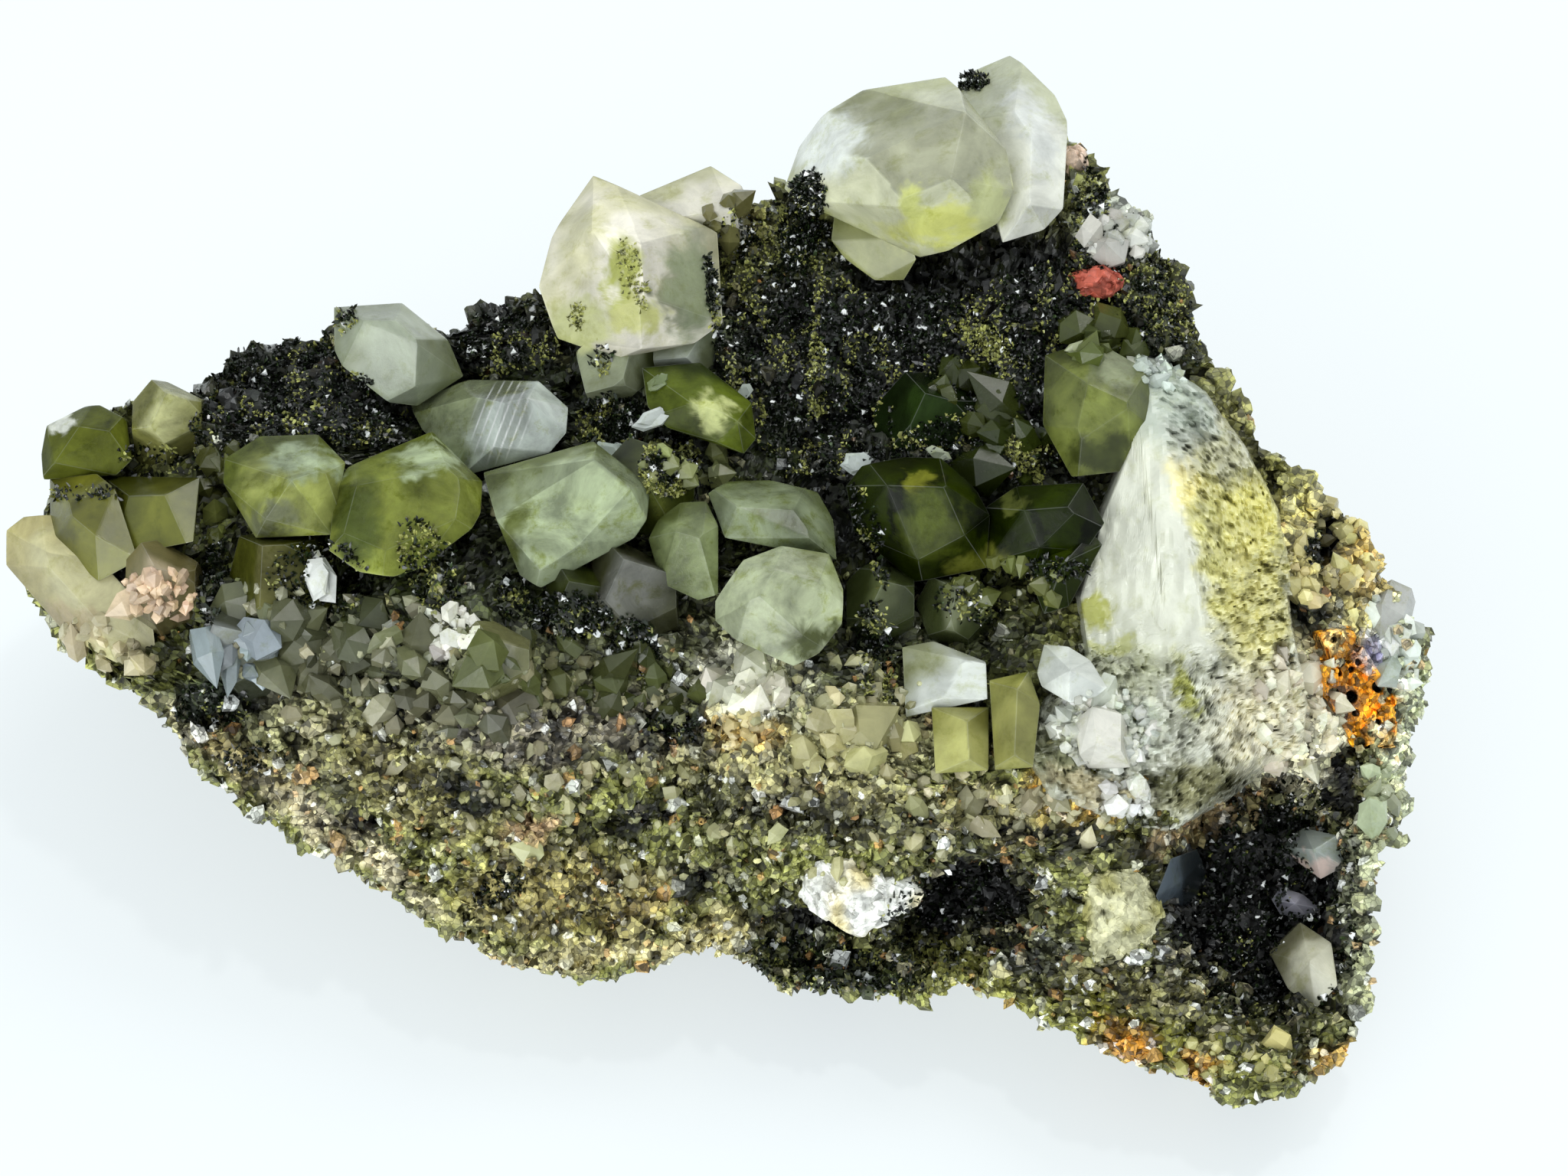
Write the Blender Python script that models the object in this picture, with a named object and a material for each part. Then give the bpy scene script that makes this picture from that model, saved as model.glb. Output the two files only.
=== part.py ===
"""A hand-sized cluster of quartz crystals and dark epidote druse on its broken piece of rock.

The rock is modelled as it is looked at: u runs across its crystal face, v up it and w out of it, all in
millimetres. The whole is then tipped back by TIP_BACK, so that it lies on its flat underside, and turned
into metres. Crystals and crusts sit in pockets of the rock with a hairline gap round them.
"""

import math

import bmesh
import bpy
import numpy as np
from mathutils import Matrix

MM = 0.001
FACE_ELEVATION = math.radians(50)  # the crystal face looks this far above the horizon
TIP_BACK = math.pi / 2 - FACE_ELEVATION
ORIGIN_X = -4.5  # middle of the finished cluster across, in millimetres
ORIGIN_Y = -11.8  # and from front to back
GAP = 0.35  # hairline between a piece and what it sits in

# The rock's outline, seen square on to the crystal face: from the left tip over the top and back below.
OUTLINE = [
    (-49.7, 3.1), (-48.3, 7.2), (-48.2, 10.4), (-44.5, 11.8), (-41.0, 12.4), (-38.4, 13.3), (-34.8, 15.4),
    (-30.4, 16.2), (-29.0, 17.6), (-25.2, 18.0), (-22.5, 16.6), (-20.0, 17.9), (-15.6, 19.6),
    (-13.4, 24.0), (-8.0, 25.4), (-2.6, 26.0), (0.0, 26.1), (3.6, 29.6), (9.2, 33.2), (14.8, 32.8),
    (19.5, 29.2), (22.0, 25.1), (23.8, 23.0),
    (26.2, 20.7), (27.1, 17.9), (27.6, 14.8), (30.2, 12.3), (31.5, 9.2), (34.8, 6.7), (35.3, 5.1),
    (37.9, 4.4), (38.8, 1.5), (39.7, -0.5), (41.7, -3.1), (42.2, -5.6), (41.0, -9.7), (40.2, -13.3),
    (39.7, -15.9), (38.1, -16.6), (37.6, -20.5), (37.3, -26.1), (36.4, -28.7), (33.5, -31.2), (29.2, -32.5),
    (25.6, -31.2), (21.5, -29.7), (16.9, -27.6), (10.8, -25.0), (8.4, -26.5), (3.1, -25.6), (0.0, -25.9),
    (-2.3, -23.6), (-4.9, -22.8), (-8.7, -24.3), (-13.3, -25.2), (-17.4, -24.3), (-21.0, -22.3),
    (-25.6, -19.5), (-29.2, -17.3), (-33.8, -14.8), (-37.4, -12.0), (-40.2, -8.2), (-41.5, -6.7),
    (-44.5, -5.6), (-47.1, -3.6), (-50.2, 0.0),
]  # fmt: skip
MIDDLE = (0.0, -1.5)  # every point of the outline is in sight of this one

# How far out of the face the rock reaches at some places: (u, v, w).
RIM_LIE = [
    (-49.2, 2.6, 21.7), (-41.5, -6.7, 24.3), (-29.2, -17.3, 28.0), (-15.4, -25.1, 30.6), (-4.9, -22.8, 30.0),
    (10.2, -25.6, 30.4), (29.2, -32.5, 34.6), (37.4, -23.0, 32.6), (42.2, -5.6, 23.4), (38.4, 3.6, 22.2),
    (30.7, 11.3, 22.2), (27.1, 17.9, 20.6), (23.0, 23.6, 18.4), (10.2, 32.3, 12.4), (0.0, 26.1, 13.7),
    (-12.3, 21.5, 15.0), (-22.5, 16.6, 16.5), (-35.8, 14.8, 16.7), (-46.6, 9.7, 17.1),
]  # fmt: skip
INNER_LIE = [
    (-18.4, -14.3, 33.0), (-34.3, -10.2, 30.0), (-35.8, -6.7, 30.5), (-22.5, -6.7, 32.5), (4.1, -12.8, 34.0),
    (12.8, -13.3, 33.5), (-38.4, 5.1, 25.5), (-29.7, 5.1, 26.5), (-10.2, 9.7, 24.0), (-7.7, -0.5, 28.5),
    (4.1, 16.4, 20.5), (19.5, 18.9, 22.0), (12.8, 5.1, 24.5), (11.3, -4.1, 28.0), (25.6, 11.8, 25.0),
    (24.6, 1.5, 28.0), (24.6, -10.8, 32.0), (31.7, 2.6, 29.0), (32.8, -7.7, 30.5), (20.5, -20.5, 33.8),
    (24.6, -29.2, 35.0), (31.7, -29.2, 35.2),
]  # fmt: skip
LIE_REACH = 4.6  # how far each of those places pulls the rock after it
LEAST_HEIGHT = 2.5  # of the rock's face over the surface that it lies on, along w

# Hollows in the rock: (u, v, half width, half height, turn in degrees, depth).
HOLLOWS = [
    (31.2, -19.8, 6.3, 8.6, -8, 7.8),  # the vug at the lower right
    (11.8, -21.0, 5.2, 3.8, 20, 5.5),  # the dark recess beside it
    (2.6, -23.2, 5.4, 2.2, -6, 3.0),
    (35.4, 3.4, 0.9, 2.6, 0, 4.0),  # the open fissure at the right
]
HOLLOW_RIM = 1.12  # a hollow's wall starts this many half widths out, and is this many wide
HOLLOW_WALL = 0.34
RIM_WALL = 0.06  # share of the way in from the outline that the hollows leave standing
THICKNESS = 36.0  # of the rock, along w
UNDERCUT = 1.7  # below 2 the rim is drawn in towards the underside, above it stands upright
LEAST_DEEP = 0.4  # share of its thickness that the rock keeps under a hollow
UNDER_BREAKS = (0.1, 11.0, 21)  # share of the thickness, size and seed of the underside's breaks
BREAKS = [(1.4, 5.2, 3), (0.8, 2.8, 9)]  # height, size and seed of the rock's coarse breaks

CELLS_U = 34  # facets of the rock across and up
CELLS_V = 26

ROOT_DEPTH = 1.6  # how far a crystal reaches into the rock, and the share of its width that this grows by
ROOT_SHARE = 0.08
ROOT_TAPER = 0.86  # share of a crystal's own outline that its root keeps
PRISM_ANGLE = math.radians(38.2)  # between a quartz pyramid face and the crystal's length
PRISM_SPREAD = (0.86, 1.08)  # least and most distance of a prism face, in half widths
LARGE_FACE_LAG = (-0.02, 0.05)  # distance of the larger pyramid faces past the tip, in widths
SMALL_FACE_LAG = (0.10, 0.26)
SAME_FACE = math.cos(math.radians(7))  # faces that look closer together than this are one
SAME_CORNER = 0.03  # and corners this near
FLAT = math.radians(0.5)  # triangles that meet at less than this are one face

# Quartz crystals, grown together in groups. A large crystal is given by its own corners, each at (u, v) and a
# height over the rock. A small one is given by its (root u, v), (tip u, v), rise of the tip out of the
# face, width across the prism and turn about its length in degrees.
QUARTZ = {
    "quartz_summit": [
        [
            (0.0, 26.5, 4.5), (1.0, 29.4, 4.0), (2.5, 31.3, 4.6), (4.4, 32.6, 5.6), (6.5, 33.3, 5.8),
            (10.6, 33.9, 6.2), (11.6, 32.8, 8.4), (11.8, 30.9, 12.2), (5.4, 28.0, 11.2), (3.7, 28.2, 9.8),
            (7.5, 24.7, 11.2), (10.8, 26.5, 12.2), (14.5, 28.6, 10.0), (15.0, 25.9, 9.4), (14.0, 23.8, 8.2),
            (10.8, 22.1, 6.0), (8.9, 21.7, 5.4), (0.9, 25.6, 5.2),
        ],
        [
            (11.5, 33.2, 4.4), (12.3, 34.6, 4.0), (13.9, 35.2, 3.8), (15.2, 35.6, 3.6), (17.0, 33.8, 4.2),
            (18.3, 32.0, 4.4), (18.7, 30.9, 4.4), (18.5, 27.6, 4.6), (18.0, 24.5, 4.0), (17.0, 23.4, 4.0),
            (14.3, 22.6, 4.2), (15.6, 33.6, 6.4), (16.2, 29.6, 8.2), (12.6, 31.0, 7.4), (16.0, 25.0, 7.0),
        ],
        [
            (3.1, 23.0, 4.4), (3.4, 25.2, 5.6), (6.7, 24.9, 6.6), (7.9, 23.6, 6.4), (8.7, 21.6, 4.8),
            (7.9, 20.3, 2.6), (6.0, 20.3, 2.4), (4.0, 21.8, 3.2),
        ],
    ],
    "quartz_white_twins": [
        [
            (-16.2, 19.9, 4.6), (-15.4, 23.2, 5.0), (-14.0, 25.5, 5.2), (-12.7, 27.2, 5.0), (-9.7, 26.1, 5.4),
            (-6.5, 24.1, 6.0), (-4.4, 23.5, 5.0), (-4.0, 17.4, 4.8), (-5.9, 16.0, 4.6), (-9.3, 15.6, 6.2),
            (-11.0, 15.0, 4.4), (-14.9, 16.4, 3.8), (-9.3, 22.5, 9.0), (-9.4, 18.7, 8.8), (-12.6, 23.4, 8.2),
        ],
        [
            (-9.7, 26.1, 4.0), (-7.7, 26.7, 3.8), (-6.5, 27.4, 3.8), (-4.9, 28.2, 3.6), (-2.8, 26.8, 3.8),
            (-2.4, 25.6, 4.0), (-2.5, 23.2, 3.6), (-3.4, 22.5, 3.4), (-8.0, 24.4, 6.2), (-3.6, 25.0, 6.4),
        ],
    ],
    "quartz_pale_point": [
        [
            (-29.8, 18.6, 3.4), (-25.3, 18.9, 3.6), (-22.2, 16.4, 3.2), (-21.2, 14.0, 2.4),
            (-24.2, 12.0, 2.4), (-26.0, 12.2, 3.4), (-29.1, 14.6, 3.8), (-29.7, 15.7, 3.0),
            (-27.6, 17.6, 6.2), (-25.3, 17.4, 6.8), (-24.0, 16.0, 6.8), (-24.2, 13.2, 5.0),
        ]
    ],
    "quartz_left_block": [
        [
            (-36.4, 8.4, 3.6), (-34.2, 9.9, 3.4), (-30.3, 10.0, 3.6), (-28.3, 8.1, 4.6), (-28.7, 5.5, 5.0),
            (-29.0, 3.4, 4.0), (-34.0, 3.2, 3.6), (-35.0, 5.3, 3.8), (-36.4, 6.8, 3.4), (-31.5, 6.9, 7.6),
            (-29.4, 7.4, 6.6), (-33.2, 4.4, 5.8),
        ],
        ((-32.3, 0.3), (-33.5, 2.6), 4.0, 7.0, 25),
        [
            (-28.9, 6.6, 5.2), (-28.2, 7.8, 5.2), (-24.9, 9.3, 5.4), (-22.9, 10.2, 5.0), (-19.5, 6.9, 4.6),
            (-19.5, 4.8, 4.6), (-20.0, 3.8, 4.6), (-21.5, 2.8, 4.2), (-23.3, 1.2, 3.4), (-24.9, 0.7, 3.2),
            (-27.1, 1.0, 3.2), (-29.1, 2.4, 4.0), (-22.0, 8.4, 7.0), (-20.6, 6.6, 6.8), (-21.0, 4.4, 6.2),
            (-27.4, 6.6, 6.8), (-25.4, 2.4, 5.0),
        ],
    ],
    "quartz_veiled_block": [
        [
            (-19.4, 7.3, 4.0), (-16.0, 8.5, 4.0), (-12.4, 9.5, 4.2), (-10.7, 8.2, 4.6), (-8.6, 6.6, 4.6),
            (-8.8, 4.4, 4.2), (-9.6, 3.2, 4.0), (-13.1, 1.8, 3.6), (-15.6, 0.0, 3.0), (-17.0, 0.8, 3.0),
            (-18.5, 4.4, 5.0), (-12.2, 8.3, 7.0), (-9.8, 6.4, 6.8), (-13.0, 2.8, 5.2), (-15.7, 1.2, 4.4),
        ],
        ((-9.4, 5.4), (-7.8, 9.0), 4.4, 5.2, 0),
        ((-13.3, -0.8), (-13.6, 0.3), 3.5, 4.2, 0),
        ((-9.8, -0.8), (-10.0, 1.8), 4.5, 5.6, 0),
    ],
    "quartz_middle": [
        [
            (-8.7, 3.2, 4.4), (-8.1, 4.4, 4.6), (-6.7, 5.5, 4.6), (-5.0, 5.6, 4.4), (-4.2, 4.0, 5.0),
            (-4.2, -0.4, 3.6), (-5.5, -0.8, 3.2), (-7.9, 0.3, 3.2), (-8.4, 2.0, 3.8), (-6.9, 3.6, 6.4),
            (-5.2, 3.4, 6.4),
        ],
        [
            (-3.8, 0.1, 5.8), (-2.6, 1.8, 6.4), (-0.2, 2.7, 6.8), (2.9, 2.2, 6.0), (3.8, -0.1, 5.2),
            (3.7, -2.3, 4.8), (2.2, -4.2, 4.4), (1.0, -4.8, 4.0), (-0.5, -4.5, 4.2), (-3.1, -3.3, 4.4),
            (-4.4, -2.1, 4.2), (-4.4, -0.9, 4.6), (-0.6, 1.2, 8.2), (2.2, 0.4, 7.4), (-2.2, -0.8, 7.2),
            (1.2, -3.0, 6.2),
        ],
        [
            (-4.9, 6.1, 4.2), (-3.6, 6.9, 4.0), (-0.9, 7.0, 4.0), (2.2, 6.2, 4.0), (3.2, 4.4, 4.2),
            (3.4, 1.8, 4.2), (-3.8, 3.2, 4.8), (-3.0, 5.2, 6.2), (0.6, 5.0, 6.6), (1.6, 3.2, 6.4),
        ],
    ],
    "quartz_olive_pair": [
        [
            (4.0, 6.6, 3.6), (5.0, 7.9, 3.6), (7.8, 8.5, 3.6), (10.2, 8.4, 3.8), (12.4, 6.4, 4.2),
            (13.3, 4.7, 4.4), (13.1, 1.3, 3.4), (11.6, 1.0, 3.2), (8.5, 0.4, 3.0), (7.4, 1.2, 3.0),
            (4.5, 3.6, 3.4), (6.6, 6.6, 6.2), (10.4, 6.6, 6.6), (11.6, 3.4, 6.0), (8.6, 1.8, 5.0),
        ],
        [
            (13.0, 5.2, 4.0), (15.0, 6.6, 3.8), (19.3, 6.8, 3.6), (20.6, 4.2, 3.8), (19.4, 2.4, 3.6),
            (16.0, 1.2, 3.4), (13.0, 1.6, 3.4), (15.4, 5.0, 5.8), (18.6, 4.8, 5.4), (16.4, 2.6, 5.0),
        ],
        [
            (16.0, 1.6, 3.6), (19.8, 3.6, 3.8), (20.5, 2.8, 3.6), (19.4, 1.2, 3.2), (18.3, -1.2, 2.6),
            (16.7, -1.7, 2.6), (16.0, 0.1, 3.0), (17.9, 1.6, 5.0),
        ],
    ],
    "quartz_striated": [
        [
            (-24.7, 11.9, 2.4), (-23.2, 12.9, 2.6), (-20.8, 13.8, 2.8), (-16.1, 13.6, 3.2),
            (-14.1, 11.8, 2.6),
            (-14.2, 10.1, 2.4), (-15.3, 8.8, 2.2), (-19.4, 8.3, 3.0), (-20.3, 7.5, 2.6), (-23.9, 10.4, 2.6),
            (-21.0, 12.4, 4.6), (-16.8, 12.4, 5.2), (-18.9, 9.2, 4.4),
        ]
    ],
    "quartz_twin_foot": [
        ((-10.2, 15.1), (-13.1, 12.8), 3.5, 4.9, 0),
        ((-5.6, 15.5), (-8.6, 15.0), 3.0, 4.2, 0),
    ],
    "quartz_olive_ridge": [
        [
            (-9.3, 14.4, 2.2), (-5.5, 14.8, 2.4), (-2.1, 12.1, 3.4), (-1.8, 9.7, 3.6), (-2.6, 8.7, 3.2),
            (-4.0, 9.3, 3.4), (-7.6, 10.4, 2.4), (-8.9, 11.8, 2.2), (-6.0, 12.0, 4.2), (-3.0, 10.8, 5.0),
        ]
    ],
    "quartz_smoky_corner": [
        [
            (-48.6, 10.7, 3.6), (-46.2, 12.0, 3.0), (-45.2, 12.1, 3.0), (-43.3, 11.1, 3.2), (-42.8, 8.4, 3.4),
            (-43.8, 7.4, 3.2), (-48.6, 7.1, 3.2), (-48.9, 8.8, 3.2), (-46.2, 10.6, 5.2), (-44.2, 10.3, 5.0),
            (-47.8, 8.2, 4.6),
        ],
        ((-40.7, 10.3), (-40.4, 12.8), 4.6, 4.6, 0),
    ],
    "quartz_rosy_grain": [((-40.2, -0.2), (-40.4, 1.2), 5.0, 5.2, 0)],
    "quartz_left_tip": [
        [
            (-51.2, 3.8, 2.0), (-50.0, 4.7, 2.2), (-48.5, 4.8, 2.8), (-44.5, 1.8, 4.0), (-41.0, -1.8, 3.4),
            (-40.8, -4.0, 2.4), (-43.5, -4.9, 1.8), (-46.8, -3.2, 1.8), (-49.2, -0.2, 1.8), (-51.2, 1.5, 1.6),
            (-48.2, 2.4, 4.2), (-44.4, -2.2, 4.6),
        ],
        [
            (-48.3, 7.2, 3.4), (-45.0, 7.5, 3.8), (-43.6, 6.5, 4.6), (-43.2, 3.6, 5.0), (-41.8, 1.8, 4.4),
            (-44.5, 0.4, 4.0), (-48.0, 3.0, 3.4), (-46.6, 5.6, 5.4), (-44.6, 3.4, 6.0),
        ],
        [
            (-45.0, 7.4, 3.4), (-40.5, 7.2, 3.2), (-38.0, 7.2, 3.0), (-38.1, 3.0, 3.2), (-41.8, 2.3, 3.8),
            (-43.8, 3.7, 4.0), (-42.6, 6.0, 5.6), (-39.8, 5.4, 5.0),
        ],
    ],
    "quartz_olive_small": [((9.3, 10.6), (9.0, 12.6), 4.5, 6.4, 0)],
    "quartz_window": [
        [
            (17.0, 15.2, 3.0), (20.2, 16.2, 2.8), (23.6, 14.2, 3.2), (24.0, 10.4, 3.4), (22.4, 7.6, 3.2),
            (18.6, 7.2, 3.2), (16.8, 10.6, 3.0), (19.6, 13.2, 5.6), (22.2, 11.6, 5.6), (19.2, 9.6, 5.0),
        ]
    ],
    "quartz_bright_point": [
        [
            (16.6, -3.6, 4.2), (18.1, -3.7, 4.8), (19.5, -4.6, 4.6), (20.5, -6.3, 3.8), (19.8, -6.9, 3.4),
            (18.1, -7.3, 3.2), (16.4, -6.3, 3.2), (16.1, -5.4, 3.6), (18.1, -5.2, 5.8),
        ]
    ],
    "quartz_bright_block": [
        [
            (7.6, -3.8, 2.4), (9.6, -3.4, 2.8), (12.9, -4.7, 4.0), (13.0, -7.1, 3.6), (10.1, -7.0, 3.4),
            (8.2, -8.2, 2.0), (7.7, -6.0, 2.2), (11.6, -4.6, 4.2),
        ]
    ],
    "quartz_lower_prisms": [
        [
            (9.4, -7.6, 3.0), (13.1, -7.6, 3.2), (13.0, -11.6, 2.0), (9.6, -11.8, 1.6), (11.8, -8.4, 4.2),
            (11.4, -11.0, 3.2),
        ],
        [
            (13.4, -5.8, 3.4), (15.6, -5.3, 3.4), (16.3, -7.4, 3.0), (15.8, -11.4, 1.8), (13.4, -11.6, 1.8),
            (13.2, -8.0, 3.0), (14.8, -6.4, 4.6), (14.6, -10.6, 3.2),
        ],
    ],
    "quartz_pocket": [
        ((6.4, -1.2), (6.3, 0.4), 3.8, 4.8, 0),
        ((11.2, -1.8), (11.0, -0.2), 3.5, 4.6, 20),
    ],
    "quartz_round_grain": [((-18.4, -4.9), (-18.4, -3.3), 3.5, 4.4, 0)],
    "quartz_grey_grain": [((-35.4, -3.9), (-36.4, -2.3), 3.2, 5.2, 0)],
    "vug_quartz_upper": [
        [(32.2, -16.9, 1.6), (33.8, -15.6, 2.4), (35.8, -16.0, 2.6), (36.2, -18.0, 2.2), (34.8, -18.9, 1.8),
         (34.2, -16.9, 4.2)]
    ],
    "vug_quartz_middle": [
        [(31.6, -20.2, 1.8), (32.2, -19.4, 2.2), (33.6, -19.8, 2.6), (34.8, -20.8, 2.4), (34.2, -21.6, 1.8),
         (32.2, -21.2, 1.6), (33.0, -20.4, 3.6)]
    ],
    "vug_quartz_lower": [
        [(31.4, -23.6, 2.2), (33.4, -21.6, 2.6), (35.2, -22.8, 2.8), (35.4, -25.4, 2.8), (34.0, -27.0, 2.0),
         (32.4, -25.8, 2.2), (33.6, -24.0, 4.6)]
    ],
    "vug_quartz_grey": [
        [(23.6, -19.6, 2.0), (24.6, -17.2, 2.4), (26.6, -16.8, 2.2), (27.4, -18.6, 1.8), (26.6, -20.6, 1.6),
         (24.4, -20.8, 1.8), (25.4, -18.8, 3.4)]
    ],
}  # fmt: skip

# Broken lumps with no crystal form: (u, v), (half width, half height, half depth), how far their middle
# stands over the rock.
LUMPS = {
    "feldspar_white_lump": ((4.8, -19.6), (3.7, 2.3, 2.2), 1.0),
    "feldspar_pale_lump": ((21.4, -21.0), (2.7, 3.4, 1.8), 0.5),
    "garnet_pink_grain": ((20.6, 20.1), (1.9, 1.1, 1.2), 1.6),
    "feldspar_shoulder_lump": ((22.6, 23.0), (1.9, 1.7, 1.4), 0.8),
    "feldspar_top_grain": ((19.4, 28.2), (0.9, 1.3, 1.0), 0.7),
}
LUMP_FACES = 14
LUMP_SPREAD = (0.8, 1.0)  # least and most distance of a lump's faces, in its half sizes
LUMP_UNEVEN = 0.3  # radians
LUMP_SEED = 900

# Crusts that follow the rock: outline of (u, v) points, thickness, height of their spiky top.
CRUSTS = {
    "epidote_druse_left": (
        [(-38.2, 12.6), (-34.0, 16.0), (-27.6, 16.0), (-26.6, 11.6), (-24.0, 9.4), (-31.0, 10.0),
         (-38.0, 8.0)],
        1.2, 0.9,
    ),
    "epidote_druse_centre": (
        [(-4.4, 22.0), (-1.0, 25.6), (1.5, 24.0), (5.0, 19.4), (12.0, 19.6), (19.0, 22.0), (21.0, 26.6),
         (26.4, 20.4), (27.2, 15.6), (22.0, 16.4), (14.0, 12.0), (12.6, 8.0), (0.0, 7.6), (-2.0, 11.0),
         (-4.6, 15.0)],
        1.2, 1.0,
    ),
    "epidote_druse_back": (
        [(-22.0, 16.0), (-20.0, 18.6), (-15.6, 18.6), (-15.4, 15.0), (-20.0, 14.6)],
        1.2, 0.9,
    ),
    "vug_epidote_crust": (
        [(26.8, -18.8), (30.2, -16.0), (33.6, -14.6), (36.2, -16.6), (36.4, -24.0), (33.0, -27.6),
         (27.6, -26.8), (25.8, -22.0)],
        0.8, 0.8,
    ),
}  # fmt: skip
CRUST_SEED = 700
FACET_RELIEF = 0.4  # unevenness of a crust that has no spikes
SPIKE_LEAST = 0.2  # share of a crust's spikes that the lowest one keeps

# The vein of massive quartz: its outline, the ridge that runs down it, and how thick it is along the ridge
# and at its left and right edges.
VEIN_OUTLINE = [
    (22.4, 15.4), (24.6, 15.2), (27.6, 13.0), (30.2, 9.4), (32.2, 5.2), (32.8, 1.0), (32.9, -2.6),
    (33.8, -7.6), (33.2, -10.6), (31.0, -12.2), (28.7, -14.2), (24.6, -15.6), (21.5, -14.9), (16.9, -13.4),
    (15.4, -10.8), (16.6, -7.2), (19.4, -4.3), (18.9, -0.5), (20.5, 5.1), (22.4, 9.7),
]  # fmt: skip
VEIN_RIDGE = 23.6  # u of the ridge at the vein's top
VEIN_RIDGE_LEAN = 0.2  # and how far it runs to the right for each millimetre down
VEIN_TOP = 13.0
VEIN_THICK = 6.0
VEIN_LEFT_EDGE = 2.0
VEIN_RIGHT_EDGE = 1.2
VEIN_LEFT_SLOPE = 5.4  # widths of the slopes beside the ridge
VEIN_RIGHT_SLOPE = 7.6
VEIN_MIDDLE_V = -0.5  # the vein thins to VEIN_LEAST of itself half this length above and below here
VEIN_HALF_LENGTH = 17.5
VEIN_LEAST = 0.2
VEIN_SEED = 720
LIMONITE_OUTLINE = [(34.2, -2.8), (36.8, -2.4), (40.0, -7.4), (39.8, -10.4), (36.8, -10.4), (34.8, -7.0)]
LIMONITE_THICK = 0.9
LIMONITE_SEED = 721

# Each mineral's colour and roughness. A piece's mineral is the one that its name holds.
MATERIALS = {
    "quartz": ((0.55, 0.60, 0.50), 0.15),
    "matrix": ((0.22, 0.21, 0.10), 0.8),
    "epidote": ((0.02, 0.03, 0.012), 0.3),
    "limonite": ((0.55, 0.30, 0.04), 0.9),
    "feldspar": ((0.72, 0.70, 0.58), 0.5),
    "garnet": ((0.42, 0.11, 0.06), 0.5),
}
TRIM_MARGIN = 1.3  # a crust is made this much wider before it is trimmed to its outline
FARTHEST_OUT = 60.0  # past everything along w


def unit(vector):
    return np.asarray(vector, float) / np.linalg.norm(vector)


def lattice(i, j, seed):
    """A repeatable number from 0 to 1 for each lattice point: the fraction of a large sine."""
    return np.modf(np.abs(np.sin(i * 127.1 + j * 311.7 + seed * 74.7) * 43758.5453))[0]


def broken(u, v, size, seed):
    """Angular breaks, about -1 to 1: a point takes the height and the slope of its nearest scattered seed."""
    gu, gv = np.asarray(u, float) / size, np.asarray(v, float) / size
    cell_u, cell_v = np.floor(gu), np.floor(gv)
    nearest = np.full(np.shape(gu), np.inf)
    height = np.zeros(np.shape(gu))
    for step_u in (-1, 0, 1):
        for step_v in (-1, 0, 1):
            i, j = cell_u + step_u, cell_v + step_v
            off_u = gu - i - lattice(i, j, seed)
            off_v = gv - j - lattice(i, j, seed + 1)
            away = off_u**2 + off_v**2
            slope_u = 2 * lattice(i, j, seed + 2) - 1
            slope_v = 2 * lattice(i, j, seed + 3) - 1
            level = 2 * lattice(i, j, seed + 4) - 1
            height = np.where(away < nearest, 0.5 * level + slope_u * off_u + slope_v * off_v, height)
            nearest = np.minimum(nearest, away)
    return height


def outline_radius(angle):
    """Distance from MIDDLE to the outline at each angle, along the straight sides between its points."""
    points = np.array(OUTLINE) - MIDDLE
    around = np.arctan2(points[:, 1], points[:, 0])
    points = points[np.argsort(around)]
    around = np.sort(around)
    after = np.searchsorted(around, angle) % len(points)
    start, end = points[after - 1], points[after]
    side = end - start
    ray = np.stack([np.cos(angle), np.sin(angle)], -1)
    turn = start[..., 0] * side[..., 1] - start[..., 1] * side[..., 0]
    return turn / (ray[..., 0] * side[..., 1] - ray[..., 1] * side[..., 0])


def hollow_depth(u, v):
    """How deep the hollows go here: each is flat-bottomed, with a steep wall round an ellipse, and none cuts
    through the rock's rim."""
    off_u, off_v = u - MIDDLE[0], v - MIDDLE[1]
    inward = 1 - np.hypot(off_u, off_v) / outline_radius(np.arctan2(off_v, off_u))
    depth = np.zeros(np.shape(u))
    for middle_u, middle_v, half_u, half_v, turn, deep in HOLLOWS:
        c, s = math.cos(math.radians(turn)), math.sin(math.radians(turn))
        across = ((u - middle_u) * c + (v - middle_v) * s) / half_u
        up = ((v - middle_v) * c - (u - middle_u) * s) / half_v
        wall = np.clip((HOLLOW_RIM - np.hypot(across, up)) / HOLLOW_WALL, 0, 1)
        depth = np.maximum(depth, deep * wall * wall * (3 - 2 * wall))
    return depth * np.clip(inward / RIM_WALL, 0, 1)


def ground(v):
    """Where w meets the surface that the rock lies on."""
    return -v / math.tan(FACE_ELEVATION)


def lie(u, v):
    """How far out the rock reaches at (u, v): a smooth average of the nearby places, broken into facets."""
    u, v = np.asarray(u, float), np.asarray(v, float)
    total, weights = np.zeros(u.shape), np.full(u.shape, 1e-12)
    for place_u, place_v, place_w in RIM_LIE + INNER_LIE:
        weight = np.exp(-((u - place_u) ** 2 + (v - place_v) ** 2) / (2 * LIE_REACH**2)) + 1e-9
        total += weight * place_w
        weights += weight
    out = total / weights - hollow_depth(u, v)
    for height, size, seed in BREAKS:
        out += height * broken(u, v, size, seed)
    return np.maximum(out, ground(v) + LEAST_HEIGHT)


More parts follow.
